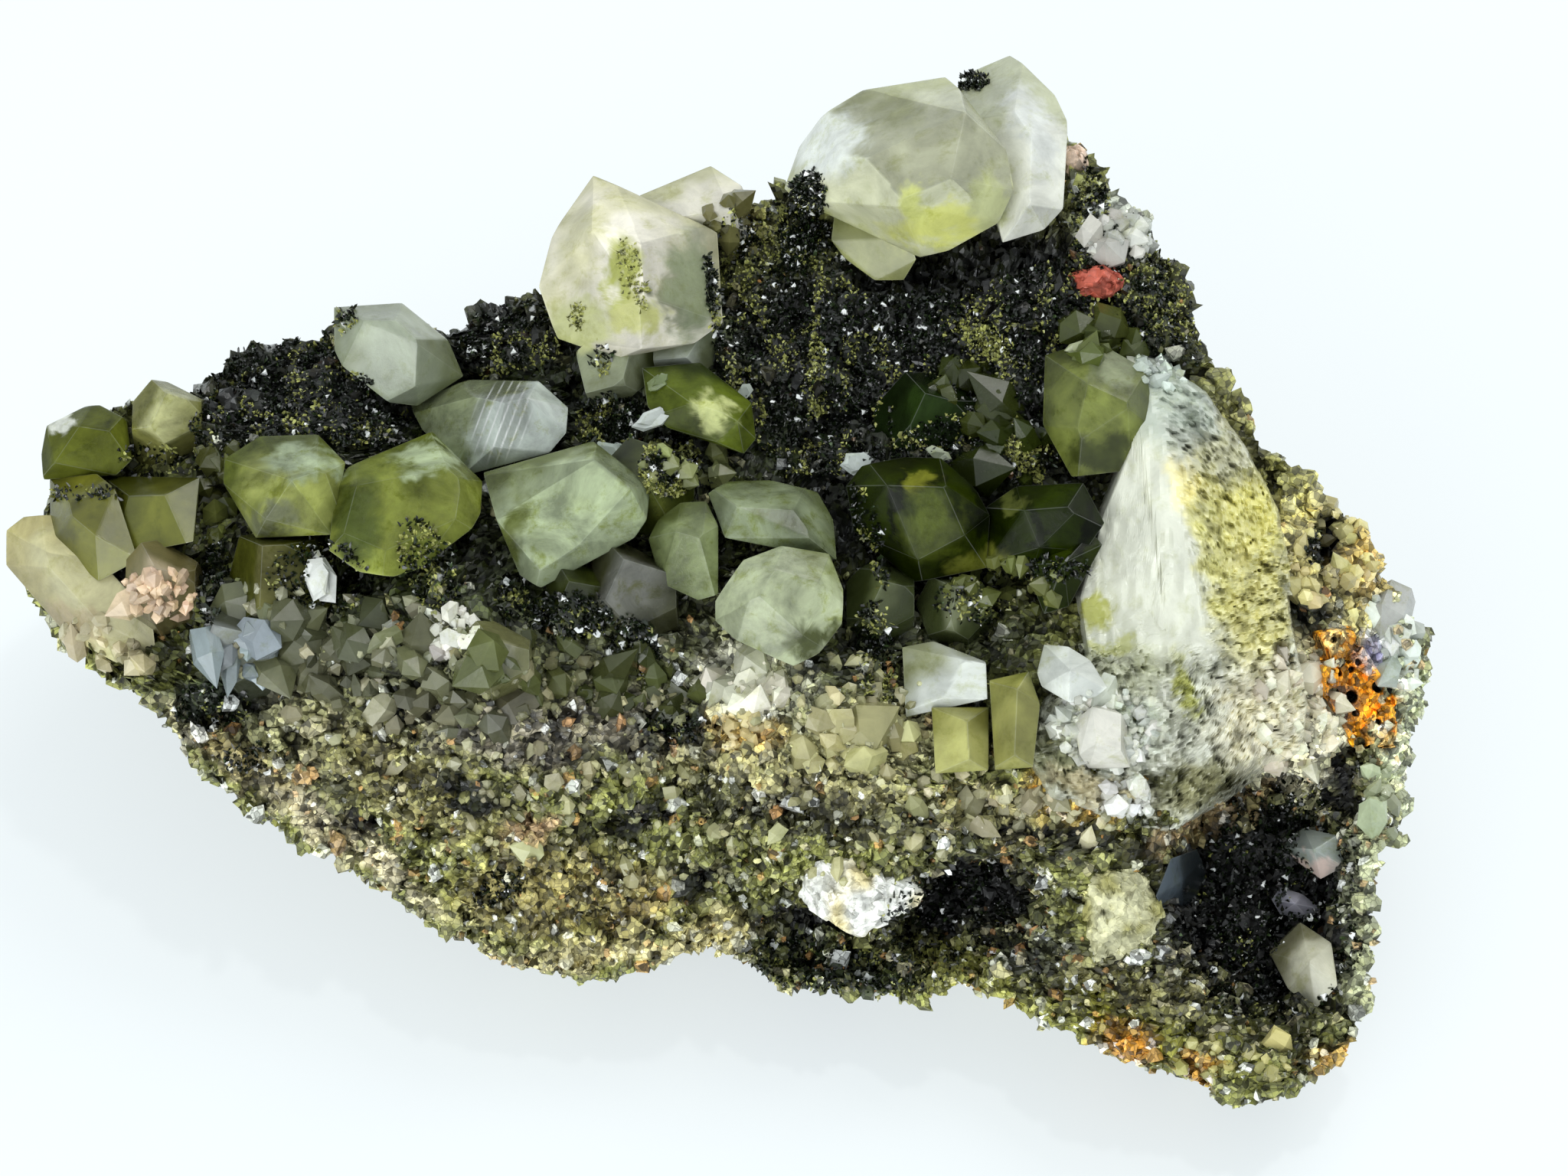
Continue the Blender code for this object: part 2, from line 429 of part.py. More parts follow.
def face_grid():
    """(u, v, share of the way to the outline) of a square grid drawn round into the outline's shape."""
    a, b = np.meshgrid(np.linspace(-1, 1, CELLS_U + 1), np.linspace(-1, 1, CELLS_V + 1), indexing="ij")
    share = np.maximum(np.abs(a), np.abs(b))
    wide = np.abs(a) >= np.abs(b)
    with np.errstate(divide="ignore", invalid="ignore"):
        turn = np.where(wide, math.pi / 4 * b / a, math.pi / 2 - math.pi / 4 * a / b)
    turn = np.where(share == 0, 0, np.where(np.where(wide, a, b) < 0, turn + math.pi, turn))
    angle = np.arctan2(np.sin(turn), np.cos(turn))
    reach = share * outline_radius(angle)
    return MIDDLE[0] + reach * np.cos(angle), MIDDLE[1] + reach * np.sin(angle), share


def mesh_of(name, points, faces):
    mesh = bpy.data.meshes.new(name)
    mesh.from_pydata([tuple(p) for p in points], [], [tuple(map(int, f)) for f in faces])
    mesh.update()
    return mesh


def rock_mesh():
    """The rock: the front grid, the underside grid, and one ring of points that both share."""
    u, v, share = face_grid()
    front = np.stack([u, v, lie(u, v)], -1)
    drawn_in = (1 - share**UNDERCUT) ** (1 / UNDERCUT)
    uneven, size, seed = UNDER_BREAKS
    deep = THICKNESS * drawn_in * (1 + uneven * broken(u, v, size, seed))
    under = front.copy()
    under[..., 2] -= np.maximum(deep - hollow_depth(u, v), LEAST_DEEP * deep)
    under[..., 2] = np.maximum(under[..., 2], ground(v))
    count = share.size
    index = np.arange(count).reshape(share.shape)
    below = np.where(share >= 1 - 1e-9, index, index + count)
    faces = []
    for grid, flip in ((index, 1), (below, -1)):
        a, b, c, d = grid[:-1, :-1], grid[1:, :-1], grid[1:, 1:], grid[:-1, 1:]
        for corners in ((a, b, c), (a, c, d)):
            faces.extend(np.stack([k.ravel() for k in corners[::flip]], -1).tolist())
    mesh = mesh_of("rock", np.concatenate([front.reshape(-1, 3), under.reshape(-1, 3)]), faces)
    bm = bmesh.new()
    bm.from_mesh(mesh)
    loose = [vertex for vertex in bm.verts if not vertex.link_faces]
    bmesh.ops.delete(bm, geom=loose, context="VERTS")
    flat = [f for f in bm.faces if all(lies_on_ground(vertex.co) for vertex in f.verts)]
    bmesh.ops.dissolve_faces(bm, faces=flat, use_verts=True)
    bm.to_mesh(mesh)
    bm.free()
    return mesh


def lies_on_ground(point):
    return abs(point.y * math.cos(FACE_ELEVATION) + point.z * math.sin(FACE_ELEVATION)) < 1e-3


def inside(u, v, polygon):
    """True where (u, v) is inside the polygon: a ray from there crosses its sides an odd number of times."""
    within = np.zeros(np.shape(u), bool)
    for (u0, v0), (u1, v1) in zip(polygon, polygon[1:] + polygon[:1]):
        if v0 == v1:
            continue
        crosses = (v0 > v) != (v1 > v)
        within ^= crosses & (u < (u1 - u0) * (v - v0) / (v1 - v0) + u0)
    return within


def without_corner_contacts(chosen):
    """Fills one more cell wherever two cells of a patch meet at a corner alone."""
    while True:
        a, b, c, d = chosen[:-1, :-1], chosen[1:, :-1], chosen[:-1, 1:], chosen[1:, 1:]
        falling = a & d & ~b & ~c
        rising = b & c & ~a & ~d
        if not (falling.any() or rising.any()):
            return chosen
        b |= falling
        a |= rising


def crust_mesh(name, polygon, thickness, spike, seed):
    """A crust on the rock's own facets: a floor one gap above them, a top of many points and upright sides.

    thickness is a number or a function of u and v, and without a spike the top is plain facets."""
    u, v, _ = face_grid()
    low = lie(u, v) + GAP
    thick = thickness(u, v) if callable(thickness) else np.full(u.shape, thickness)
    random = np.random.default_rng(seed)
    high = low + thick + (spike or FACET_RELIEF) * (random.random(u.shape) - 0.5)
    middle_u = (u[:-1, :-1] + u[1:, 1:]) / 2
    middle_v = (v[:-1, :-1] + v[1:, 1:]) / 2
    chosen = without_corner_contacts(inside(middle_u, middle_v, polygon))
    index = np.arange(u.size).reshape(u.shape)
    bm = bmesh.new()
    top, floor = {}, {}
    for i, j in np.argwhere(chosen):
        quad = [index[i, j], index[i + 1, j], index[i + 1, j + 1], index[i, j + 1]]
        for k in quad:
            if k not in top:
                place = (u.flat[k], v.flat[k])
                top[k] = bm.verts.new((*place, high.flat[k]))
                floor[k] = bm.verts.new((*place, low.flat[k]))
        if spike and (i + j) % 2:
            middle = np.mean([top[k].co for k in quad], axis=0)
            point = bm.verts.new(middle + (0, 0, spike * random.uniform(SPIKE_LEAST, 1.0)))
            for a, b in zip(quad, quad[1:] + quad[:1]):
                bm.faces.new((top[a], top[b], point))
        else:
            bm.faces.new((top[quad[0]], top[quad[1]], top[quad[2]]))
            bm.faces.new((top[quad[0]], top[quad[2]], top[quad[3]]))
        bm.faces.new((floor[quad[0]], floor[quad[2]], floor[quad[1]]))
        bm.faces.new((floor[quad[0]], floor[quad[3]], floor[quad[2]]))
    upper = {vertex: k for k, vertex in top.items()}
    for edge in [e for e in bm.edges if len(e.link_faces) == 1]:
        a, b = edge.verts
        if a in upper and b in upper:
            if edge.link_loops[0].vert is not a:
                a, b = b, a
            bm.faces.new((b, a, floor[upper[a]], floor[upper[b]]))
    bmesh.ops.recalc_face_normals(bm, faces=bm.faces)
    bmesh.ops.triangulate(bm, faces=bm.faces)
    mesh = bpy.data.meshes.new(name)
    bm.to_mesh(mesh)
    bm.free()
    return mesh


def convex_mesh(name, planes, centre):
    """The convex solid inside all of the planes. A plane's pole is its direction over its distance from the
    centre, and each triangle of the hull round the poles stands for a corner, where its three planes meet."""
    poles = bmesh.new()
    for point, normal in planes:
        poles.verts.new(normal / ((point - centre) @ normal))
    bmesh.ops.convex_hull(poles, input=poles.verts)
    solid = bmesh.new()
    for face in poles.faces:
        solid.verts.new(centre + np.linalg.solve([vertex.co for vertex in face.verts], np.ones(3)))
    poles.free()
    bmesh.ops.remove_doubles(solid, verts=solid.verts, dist=SAME_CORNER)
    bmesh.ops.convex_hull(solid, input=solid.verts)
    loose = [vertex for vertex in solid.verts if not vertex.link_faces]
    bmesh.ops.delete(solid, geom=loose, context="VERTS")
    bmesh.ops.dissolve_limit(solid, angle_limit=FLAT, verts=solid.verts, edges=solid.edges)
    bmesh.ops.recalc_face_normals(solid, faces=solid.faces)
    mesh = bpy.data.meshes.new(name)
    solid.to_mesh(mesh)
    solid.free()
    return mesh


def rock_slope(u, v, half):
    """The rock's mean height, and its slopes along u and v, over four places half away from (u, v)."""
    right, left = float(lie(u + half, v)), float(lie(u - half, v))
    above, below = float(lie(u, v + half)), float(lie(u, v - half))
    return (right + left + above + below) / 4, (right - left) / (2 * half), (above - below) / (2 * half)


def hull_planes(corners):
    """The planes of the convex solid round the corners. Faces that look almost the same way share one."""
    bm = bmesh.new()
    for corner in corners:
        bm.verts.new(corner)
    bmesh.ops.convex_hull(bm, input=bm.verts)
    planes = []
    for face in sorted(bm.faces, key=lambda face: -face.calc_area()):
        outward = np.array(face.normal)
        if all(outward @ other < SAME_FACE for _, other in planes):
            farthest = corners[np.argmax(corners @ outward)]
            planes.append((farthest, outward))
    bm.free()
    return planes


def cornered_planes(spec):
    """The planes of a crystal given by its corners. A narrower copy of them, sunk in rock, is its root."""
    corners = np.array(spec)
    middle = corners[:, :2].mean(axis=0)
    half = float(np.ptp(corners[:, 0]) + np.ptp(corners[:, 1])) / 4
    height, slope_u, slope_v = rock_slope(*middle, half)
    off = corners[:, :2] - middle
    lifted = height + off @ (slope_u, slope_v)
    upper = np.column_stack([corners[:, :2], lifted + corners[:, 2]])
    buried = ROOT_DEPTH + ROOT_SHARE * 2 * half
    kept = middle + ROOT_TAPER * off
    lower = np.column_stack([kept, height + ROOT_TAPER * off @ (slope_u, slope_v) - buried])
    return hull_planes(np.concatenate([upper, lower])), np.array([*middle, height])


def prism_planes(spec, seed):
    """Six prism planes, six pyramid planes of which every other one is larger, and a base in the rock."""
    root_uv, tip_uv, rise, width, turn = spec
    height, slope_u, slope_v = rock_slope(*root_uv, width / 2)
    out = unit((-slope_u, -slope_v, 1))
    root, tip = np.array([*root_uv, height]), np.array([*tip_uv, height + rise])
    axis = unit(tip - root)
    first = unit(np.cross(axis, (0, 1, 0)))
    second = np.cross(axis, first)
    random = np.random.default_rng(seed)
    planes = [(root - out * (ROOT_DEPTH + ROOT_SHARE * width), -out)]
    for k in range(6):
        angle = math.radians(turn + 60 * k)
        radial = math.cos(angle) * first + math.sin(angle) * second
        planes.append((root + radial * width / 2 * random.uniform(*PRISM_SPREAD), radial))
        pyramid = math.cos(PRISM_ANGLE) * radial + math.sin(PRISM_ANGLE) * axis
        lag = random.uniform(*(SMALL_FACE_LAG if k % 2 else LARGE_FACE_LAG))
        planes.append((tip + pyramid * lag * width, pyramid))
    return planes, (root + tip) / 2


def crystal_mesh(name, spec, seed, grow=0.0):
    """A quartz crystal with every face moved outward by grow."""
    planes, centre = cornered_planes(spec) if isinstance(spec, list) else prism_planes(spec, seed)
    return convex_mesh(name, [(point + normal * grow, normal) for point, normal in planes], centre)


def lump_mesh(name, spec, seed, grow=0.0):
    """A broken lump: the solid inside planes that touch an ellipsoid in scattered directions."""
    middle_uv, half, over = spec
    centre = np.array([*middle_uv, float(lie(*middle_uv)) + over])
    random = np.random.default_rng(seed)
    golden_turn = math.pi * (3 - math.sqrt(5))
    planes = []
    for k in range(LUMP_FACES):
        level = 1 - 2 * (k + 0.5) / LUMP_FACES
        angle = k * golden_turn + random.uniform(-LUMP_UNEVEN, LUMP_UNEVEN)
        ring = math.sqrt(1 - level * level)
        direction = np.array([ring * math.cos(angle), ring * math.sin(angle), level])
        normal = unit(direction / half)
        touch = centre + direction * half * random.uniform(*LUMP_SPREAD)
        planes.append((touch + normal * grow, normal))
    return convex_mesh(name, planes, centre)


def new_object(name, mesh):
    obj = bpy.data.objects.new(name, mesh)
    bpy.context.scene.collection.objects.link(obj)
    return obj


def settled(obj):
    """Applies the object's modifiers, and keeps only the largest body that a cut left."""
    graph = bpy.context.evaluated_depsgraph_get()
    mesh = bpy.data.meshes.new_from_object(obj.evaluated_get(graph))
    obj.modifiers.clear()
    obj.data = mesh
    bm = bmesh.new()
    bm.from_mesh(mesh)
    bodies = []
    waiting = set(bm.faces)
    while waiting:
        seed = waiting.pop()
        body, ahead = [], [seed]
        while ahead:
            face = ahead.pop()
            body.append(face)
            for edge in face.edges:
                for other in edge.link_faces if len(edge.link_faces) == 2 else ():
                    if other in waiting:
                        waiting.discard(other)
                        ahead.append(other)
        bodies.append(body)
    bodies.sort(key=body_area)
    for body in bodies[:-1]:
        bmesh.ops.delete(bm, geom=body, context="FACES")
    bm.to_mesh(mesh)
    bm.free()


def body_area(body):
    return sum(face.calc_area() for face in body)


def combined(obj, others, operation):
    """obj with the others joined to it or cut from it."""
    if not others:
        settled(obj)
        return
    tools = bpy.data.collections.new(f"{obj.name} {operation.lower()}")
    for other in others:
        tools.objects.link(other)
    boolean = obj.modifiers.new("fit", "BOOLEAN")
    boolean.operation = operation
    boolean.solver = "EXACT"
    boolean.operand_type = "COLLECTION"
    boolean.collection = tools
    bpy.context.view_layer.update()
    settled(obj)
    bpy.data.collections.remove(tools)


def remove(objects):
    for obj in objects:
        bpy.data.objects.remove(obj)


def near(a, b):
    """True where the boxes round two objects meet."""
    box_a = np.array([vertex.co for vertex in a.data.vertices])
    box_b = np.array([vertex.co for vertex in b.data.vertices])
    return bool((box_a.min(0) <= box_b.max(0)).all() and (box_b.min(0) <= box_a.max(0)).all())


def finish(name, base_color, roughness):
    material = bpy.data.materials.new(name)
    material.use_nodes = True
    shader = material.node_tree.nodes["Principled BSDF"]
    shader.inputs["Base Color"].default_value = (*base_color, 1.0)
    shader.inputs["Roughness"].default_value = roughness
    shader.inputs["Metallic"].default_value = 0.0
    return material


def quartz_pieces():
    """Each group of crystals joined into one solid, and the sockets that it needs in what it grew in."""
    pieces, sockets = [], []
    for number, (name, specs) in enumerate(QUARTZ.items()):
        seeds = [100 * number + k for k in range(len(specs))]
        members = [new_object(name, crystal_mesh(name, s, seed)) for s, seed in zip(specs, seeds)]
        piece = members[0]
        combined(piece, members[1:], "UNION")
        remove(members[1:])
        combined(piece, [s for s in sockets if near(piece, s)], "DIFFERENCE")
        for spec, seed in zip(specs, seeds):
            sockets.append(new_object(f"socket {seed}", crystal_mesh(name, spec, seed, GAP)))
        pieces.append(piece)
    return pieces, sockets


def lump_pieces(sockets):
    pieces = []
    for number, (name, spec) in enumerate(LUMPS.items()):
        seed = LUMP_SEED + number
        piece = new_object(name, lump_mesh(name, spec, seed))
        combined(piece, [s for s in sockets if near(piece, s)], "DIFFERENCE")
        sockets.append(new_object(f"socket {name}", lump_mesh(name, spec, seed, GAP)))
        pieces.append(piece)
    return pieces


def vein_thickness(u, v):
    """Thickest along the ridge, falling straight to the left and right edges and at both ends."""
    off = u - VEIN_RIDGE - VEIN_RIDGE_LEAN * (VEIN_TOP - v)
    left = VEIN_THICK + (VEIN_LEFT_EDGE - VEIN_THICK) * np.clip(-off / VEIN_LEFT_SLOPE, 0, 1)
    right = VEIN_THICK + (VEIN_RIGHT_EDGE - VEIN_THICK) * np.clip(off / VEIN_RIGHT_SLOPE, 0, 1)
    ends = np.clip(1 - ((v - VEIN_MIDDLE_V) / VEIN_HALF_LENGTH) ** 4, VEIN_LEAST, 1)
    return np.where(off < 0, left, right) * ends


def trimmed_crust(name, outline, thickness, seed):
    """A crust with a plain top, trimmed to its outline by an upright prism."""
    middle = np.mean(outline, axis=0)
    wider = [tuple(middle + TRIM_MARGIN * (np.array(p) - middle)) for p in outline]
    piece = new_object(name, crust_mesh(name, wider, thickness, 0, seed))
    count = len(outline)
    points = [(u, v, w) for w in (0, FARTHEST_OUT) for u, v in outline]
    sides = [(k, (k + 1) % count, count + (k + 1) % count, count + k) for k in range(count)]
    faces = [tuple(range(count)), tuple(range(2 * count - 1, count - 1, -1)), *sides]
    prism = new_object("trim", mesh_of("trim", points, faces))
    bm = bmesh.new()
    bm.from_mesh(prism.data)
    bmesh.ops.recalc_face_normals(bm, faces=bm.faces)
    bm.to_mesh(prism.data)
    bm.free()
    combined(piece, [prism], "INTERSECT")
    remove([prism])
    return piece


def crust_pieces(sockets):
    pieces = []
    for number, (name, (polygon, thickness, spike)) in enumerate(CRUSTS.items()):
        pieces.append(new_object(name, crust_mesh(name, polygon, thickness, spike, CRUST_SEED + number)))
    pieces.append(trimmed_crust("quartz_vein", VEIN_OUTLINE, vein_thickness, VEIN_SEED))
    pieces.append(trimmed_crust("limonite_crust", LIMONITE_OUTLINE, LIMONITE_THICK, LIMONITE_SEED))
    for piece in pieces:
        combined(piece, [s for s in sockets if near(piece, s)], "DIFFERENCE")
    return pieces


def main():
    for obj in list(bpy.data.objects):
        bpy.data.objects.remove(obj)
    quartz, sockets = quartz_pieces()
    lumps = lump_pieces(sockets)
    crusts = crust_pieces(sockets)
    rock = new_object("matrix_rock", rock_mesh())
    combined(rock, sockets, "DIFFERENCE")
    remove(sockets)
    materials = {name: finish(name, *look) for name, look in MATERIALS.items()}
    to_room = (
        Matrix.Translation((-ORIGIN_X * MM, -ORIGIN_Y * MM, 0))
        @ Matrix.Rotation(TIP_BACK, 4, "X")
        @ Matrix.Scale(MM, 4)
    )
    for piece in quartz + lumps + crusts + [rock]:
        piece.data.transform(to_room)
        piece.data.materials.clear()
        piece.data.materials.append(next(m for mineral, m in materials.items() if mineral in piece.name))


main()
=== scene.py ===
import itertools
import math

import bpy
import numpy as np
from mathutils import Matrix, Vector
from mathutils.bvhtree import BVHTree


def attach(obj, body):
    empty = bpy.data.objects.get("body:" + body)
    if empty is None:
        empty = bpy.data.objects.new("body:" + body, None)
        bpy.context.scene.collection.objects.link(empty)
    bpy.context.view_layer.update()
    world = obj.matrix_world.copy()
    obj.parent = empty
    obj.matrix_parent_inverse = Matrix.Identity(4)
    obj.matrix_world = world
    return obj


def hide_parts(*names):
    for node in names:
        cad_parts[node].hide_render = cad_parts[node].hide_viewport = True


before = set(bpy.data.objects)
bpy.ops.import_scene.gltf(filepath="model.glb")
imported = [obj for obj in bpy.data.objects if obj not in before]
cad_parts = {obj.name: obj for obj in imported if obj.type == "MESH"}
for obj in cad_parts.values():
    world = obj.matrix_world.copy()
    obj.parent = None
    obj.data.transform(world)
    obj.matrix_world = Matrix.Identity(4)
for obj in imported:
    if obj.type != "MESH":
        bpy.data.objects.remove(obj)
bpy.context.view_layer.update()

# Where the cluster is looked at from. It was modelled square on to its crystal face, u across it, v up it
# and w out of it in millimetres, then tipped back to lie on its underside. The camera looks along w.
MM = 0.001
FACE_ELEVATION = math.radians(50)
ORIGIN_X, ORIGIN_Y = -4.5, -11.8
CAMERA_DISTANCE = 0.350
CAMERA_MIDDLE_W = 25.0
VIEW_WIDTH = 102.4
SENSOR = 36.0


def to_room(points):
    """Face millimetres to metres in the room: w turns from upright by the face's elevation, and the
    cluster's middle goes to the room's."""
    u, v, w = np.asarray(points, float).T
    s, c = math.sin(FACE_ELEVATION), math.cos(FACE_ELEVATION)
    return np.stack([u - ORIGIN_X, v * s - w * c - ORIGIN_Y, v * c + w * s], -1) * MM


outward = Vector((0, -math.cos(FACE_ELEVATION), math.sin(FACE_ELEVATION)))
camera = bpy.data.objects.new("camera", bpy.data.cameras.new("camera"))
bpy.context.scene.collection.objects.link(camera)
camera.location = Vector(to_room((0, 0, CAMERA_MIDDLE_W))) + outward * CAMERA_DISTANCE
camera.rotation_euler = outward.to_track_quat("Z", "Y").to_euler()
camera.data.sensor_width = SENSOR
camera.data.lens = SENSOR * CAMERA_DISTANCE / (VIEW_WIDTH * MM)
camera.data.clip_start = 0.01
bpy.context.scene.camera = camera

# The table and its light. A white light table carries the cluster. A window-sized softbox stands behind it
# on the right, a small one over it for the glints and a low one in front on the left, in a pale room.
FLOOR_HALF = 1.5
ROOM_COLOUR = (0.90, 0.975, 1.0)
ROOM_STRENGTH = 0.85
BOARD_COLOUR, BOARD_GLOW = (0.26, 0.273, 0.273), (0.59, 0.63, 0.65)
SOFTBOXES = [  # place in metres, size, watts, colour
    ((0.34, 0.42, 0.62), 0.50, 2.5, (1.0, 0.985, 0.95)),
    ((0.16, 0.10, 0.75), 0.05, 0.8, (1.0, 1.0, 1.0)),
    ((-0.28, -0.46, 0.17), 0.50, 2.8, (0.96, 0.98, 1.0)),
]


def linear(red, green, blue):
    """A colour given as 0 to 255 screen values, as the light that those stand for."""
    screen = np.array([red, green, blue]) / 255
    return np.where(screen <= 0.04045, screen / 12.92, ((screen + 0.055) / 1.055) ** 2.4)


world = bpy.data.worlds.new("pale room")
world.use_nodes = True
world.node_tree.nodes["Background"].inputs["Color"].default_value = (*ROOM_COLOUR, 1)
world.node_tree.nodes["Background"].inputs["Strength"].default_value = ROOM_STRENGTH
bpy.context.scene.world = world
bpy.context.scene.view_settings.view_transform = "Standard"
for place, size, watts, colour in SOFTBOXES:
    lamp = bpy.data.lights.new("softbox", "AREA")
    lamp.size = size
    lamp.energy = watts
    lamp.color = colour
    softbox = bpy.data.objects.new("softbox", lamp)
    bpy.context.scene.collection.objects.link(softbox)
    softbox.location = place
    softbox.rotation_euler = Vector(place).to_track_quat("Z", "Y").to_euler()
board = bpy.data.meshes.new("white board")
h = FLOOR_HALF
board.from_pydata([(-h, -h, 0), (h, -h, 0), (h, h, 0), (-h, h, 0)], [], [(0, 1, 2, 3)])
floor = bpy.data.objects.new("white_board", board)
bpy.context.scene.collection.objects.link(floor)
paint = bpy.data.materials.new("white board")
paint.use_nodes = True
paint.node_tree.nodes["Principled BSDF"].inputs["Base Color"].default_value = (*BOARD_COLOUR, 1)
paint.node_tree.nodes["Principled BSDF"].inputs["Roughness"].default_value = 0.7
paint.node_tree.nodes["Principled BSDF"].inputs["Emission Color"].default_value = (*BOARD_GLOW, 1)
paint.node_tree.nodes["Principled BSDF"].inputs["Emission Strength"].default_value = 1.0
board.materials.append(paint)

# The broken rock that carries everything: granular, olive-grey, with the vug and the recess sunk in its
# face and a flat underside. One closed skin: a square grid drawn into the outline in front, rings of points
# behind.
OUTLINE = [
    (-49.7, 3.1), (-48.3, 7.2), (-48.2, 10.4), (-44.5, 11.8), (-41.0, 12.4), (-38.4, 13.3), (-34.8, 15.4),
    (-30.4, 16.2), (-29.0, 17.6), (-25.2, 18.0), (-22.5, 16.6), (-20.0, 17.9), (-15.6, 19.6),
    (-13.4, 24.0), (-8.0, 25.4), (-2.6, 26.0), (0.0, 26.1), (3.6, 29.6), (9.2, 33.2), (14.8, 32.8),
    (19.5, 29.2), (22.0, 25.1), (23.8, 23.0), (26.2, 20.7), (27.1, 17.9), (27.6, 14.8), (30.2, 12.3),
    (31.5, 9.2), (34.8, 6.7), (35.3, 5.1), (37.9, 4.4), (38.8, 1.5), (39.7, -0.5), (41.7, -3.1),
    (42.2, -5.6), (41.0, -9.7), (40.2, -13.3), (39.7, -15.9), (38.1, -16.6), (37.6, -20.5), (37.3, -26.1),
    (36.4, -28.7), (33.5, -31.2), (29.2, -32.5), (25.6, -31.2), (21.5, -29.7), (16.9, -27.6),
    (10.8, -25.0), (8.4, -26.5), (3.1, -25.6), (0.0, -25.9), (-2.3, -23.6), (-4.9, -22.8), (-8.7, -24.3),
    (-13.3, -25.2), (-17.4, -24.3), (-21.0, -22.3), (-25.6, -19.5), (-29.2, -17.3), (-33.8, -14.8),
    (-37.4, -12.0), (-40.2, -8.2), (-41.5, -6.7), (-44.5, -5.6), (-47.1, -3.6), (-50.2, 0.0),
]  # fmt: skip
MIDDLE = (0.0, -1.5)
RIM_LIE = [
    (-49.2, 2.6, 21.7), (-41.5, -6.7, 24.3), (-29.2, -17.3, 28.0), (-15.4, -25.1, 30.6),
    (-4.9, -22.8, 30.0), (10.2, -25.6, 30.4), (29.2, -32.5, 34.6), (37.4, -23.0, 32.6),
    (42.2, -5.6, 23.4), (38.4, 3.6, 22.2), (30.7, 11.3, 22.2), (27.1, 17.9, 20.6), (23.0, 23.6, 18.4),
    (10.2, 32.3, 12.4), (0.0, 26.1, 13.7), (-12.3, 21.5, 15.0), (-22.5, 16.6, 16.5), (-35.8, 14.8, 16.7),
    (-46.6, 9.7, 17.1),
]  # fmt: skip
INNER_LIE = [
    (-18.4, -14.3, 33.0), (-34.3, -10.2, 30.0), (-35.8, -6.7, 30.5), (-22.5, -6.7, 32.5),
    (4.1, -12.8, 34.0), (12.8, -13.3, 33.5), (-38.4, 5.1, 25.5), (-29.7, 5.1, 26.5), (-10.2, 9.7, 24.0),
    (-7.7, -0.5, 28.5), (4.1, 16.4, 20.5), (19.5, 18.9, 22.0), (12.8, 5.1, 24.5), (11.3, -4.1, 28.0),
    (25.6, 11.8, 25.0), (24.6, 1.5, 28.0), (24.6, -10.8, 32.0), (31.7, 2.6, 29.0), (32.8, -7.7, 30.5),
    (20.5, -20.5, 33.8), (24.6, -29.2, 35.0), (31.7, -29.2, 35.2),
]  # fmt: skip
PLACE_REACH = 4.6
LEAST_HEIGHT = 2.5
# (u, v, half sizes, turn in degrees, depth) of the vug, the recess, its left arm and a fissure
HOLLOWS = [
    (31.2, -19.8, 6.3, 8.6, -8, 7.8), (11.8, -21.0, 5.2, 3.8, 20, 5.5), (2.6, -23.2, 5.4, 2.2, -6, 3.0),
    (35.4, 3.4, 0.9, 2.6, 0, 4.0),
]  # fmt: skip
HOLLOW_RIM, HOLLOW_WALL = 1.12, 0.34
RIM_WALL = 0.06
THICKNESS = 36.0
UNDERCUT = 1.7
LEAST_DEEP = 0.4
UNDER_BREAKS = (0.1, 11.0, 21)
BREAKS = [(1.4, 5.2, 3), (0.8, 2.8, 9)]
FACE_CELLS = (280, 210)
UNDER_RINGS = 34
CHIPPING = [(0.62, 2.3, 31), (0.40, 1.15, 47), (0.20, 0.6, 53)]  # height, size and seed of the fine breaks
LEDGE_PITCH, LEDGE_HEIGHT, LEDGE_SLANT, LEDGE_WAVE = 1.25, 0.75, 0.35, 1.5
LEDGES_BELOW, LEDGES_RIGHT_OF = 23.5, 8
SWELL_HEIGHT = 0.3
BEHIND, IN_FRONT = -8, -3  # from this far under the face the rock takes its plain tone
RAGGED_BY, RAGGED_SIZE = 0.9, 1.6  # how far a stain's edge wanders, and in clouds of what size
STAIN_OUTER, STAIN_INNER = 1.45, 0.6
CLEAR_OF_TABLE = 1.5  # the breaks fade out over this height, so that the underside stays flat
DRUSES = {  # where the epidote grows as a crust
    "epidote_druse_left": [
        (-39.2, 12.6), (-36.0, 16.2), (-27.6, 17.6), (-26.6, 11.6), (-24.0, 9.0), (-31.0, 9.6),
        (-38.6, 7.6),
    ],
    "epidote_druse_centre": [
        (-4.4, 22.0), (-1.0, 25.9), (3.2, 27.6), (5.0, 19.4), (12.0, 19.6), (19.0, 22.0), (20.0, 28.6),
        (26.6, 20.6), (27.6, 14.6), (22.0, 15.4), (18.0, 8.0), (12.6, 7.0), (0.0, 7.4), (-2.0, 10.0),
        (-4.6, 15.0),
    ],
    "epidote_druse_back": [(-22.0, 15.6), (-20.4, 18.4), (-15.0, 19.8), (-15.0, 15.0), (-20.0, 14.0)],
    "vug_epidote_crust": [
        (26.0, -18.4), (30.0, -13.4), (34.4, -12.4), (36.8, -16.0), (36.9, -24.0), (33.0, -28.0),
        (27.2, -27.2), (25.0, -22.0),
    ],
}  # fmt: skip
DRUSE_MOUND = 0.7
ROCK_TONE = linear(120, 122, 66)
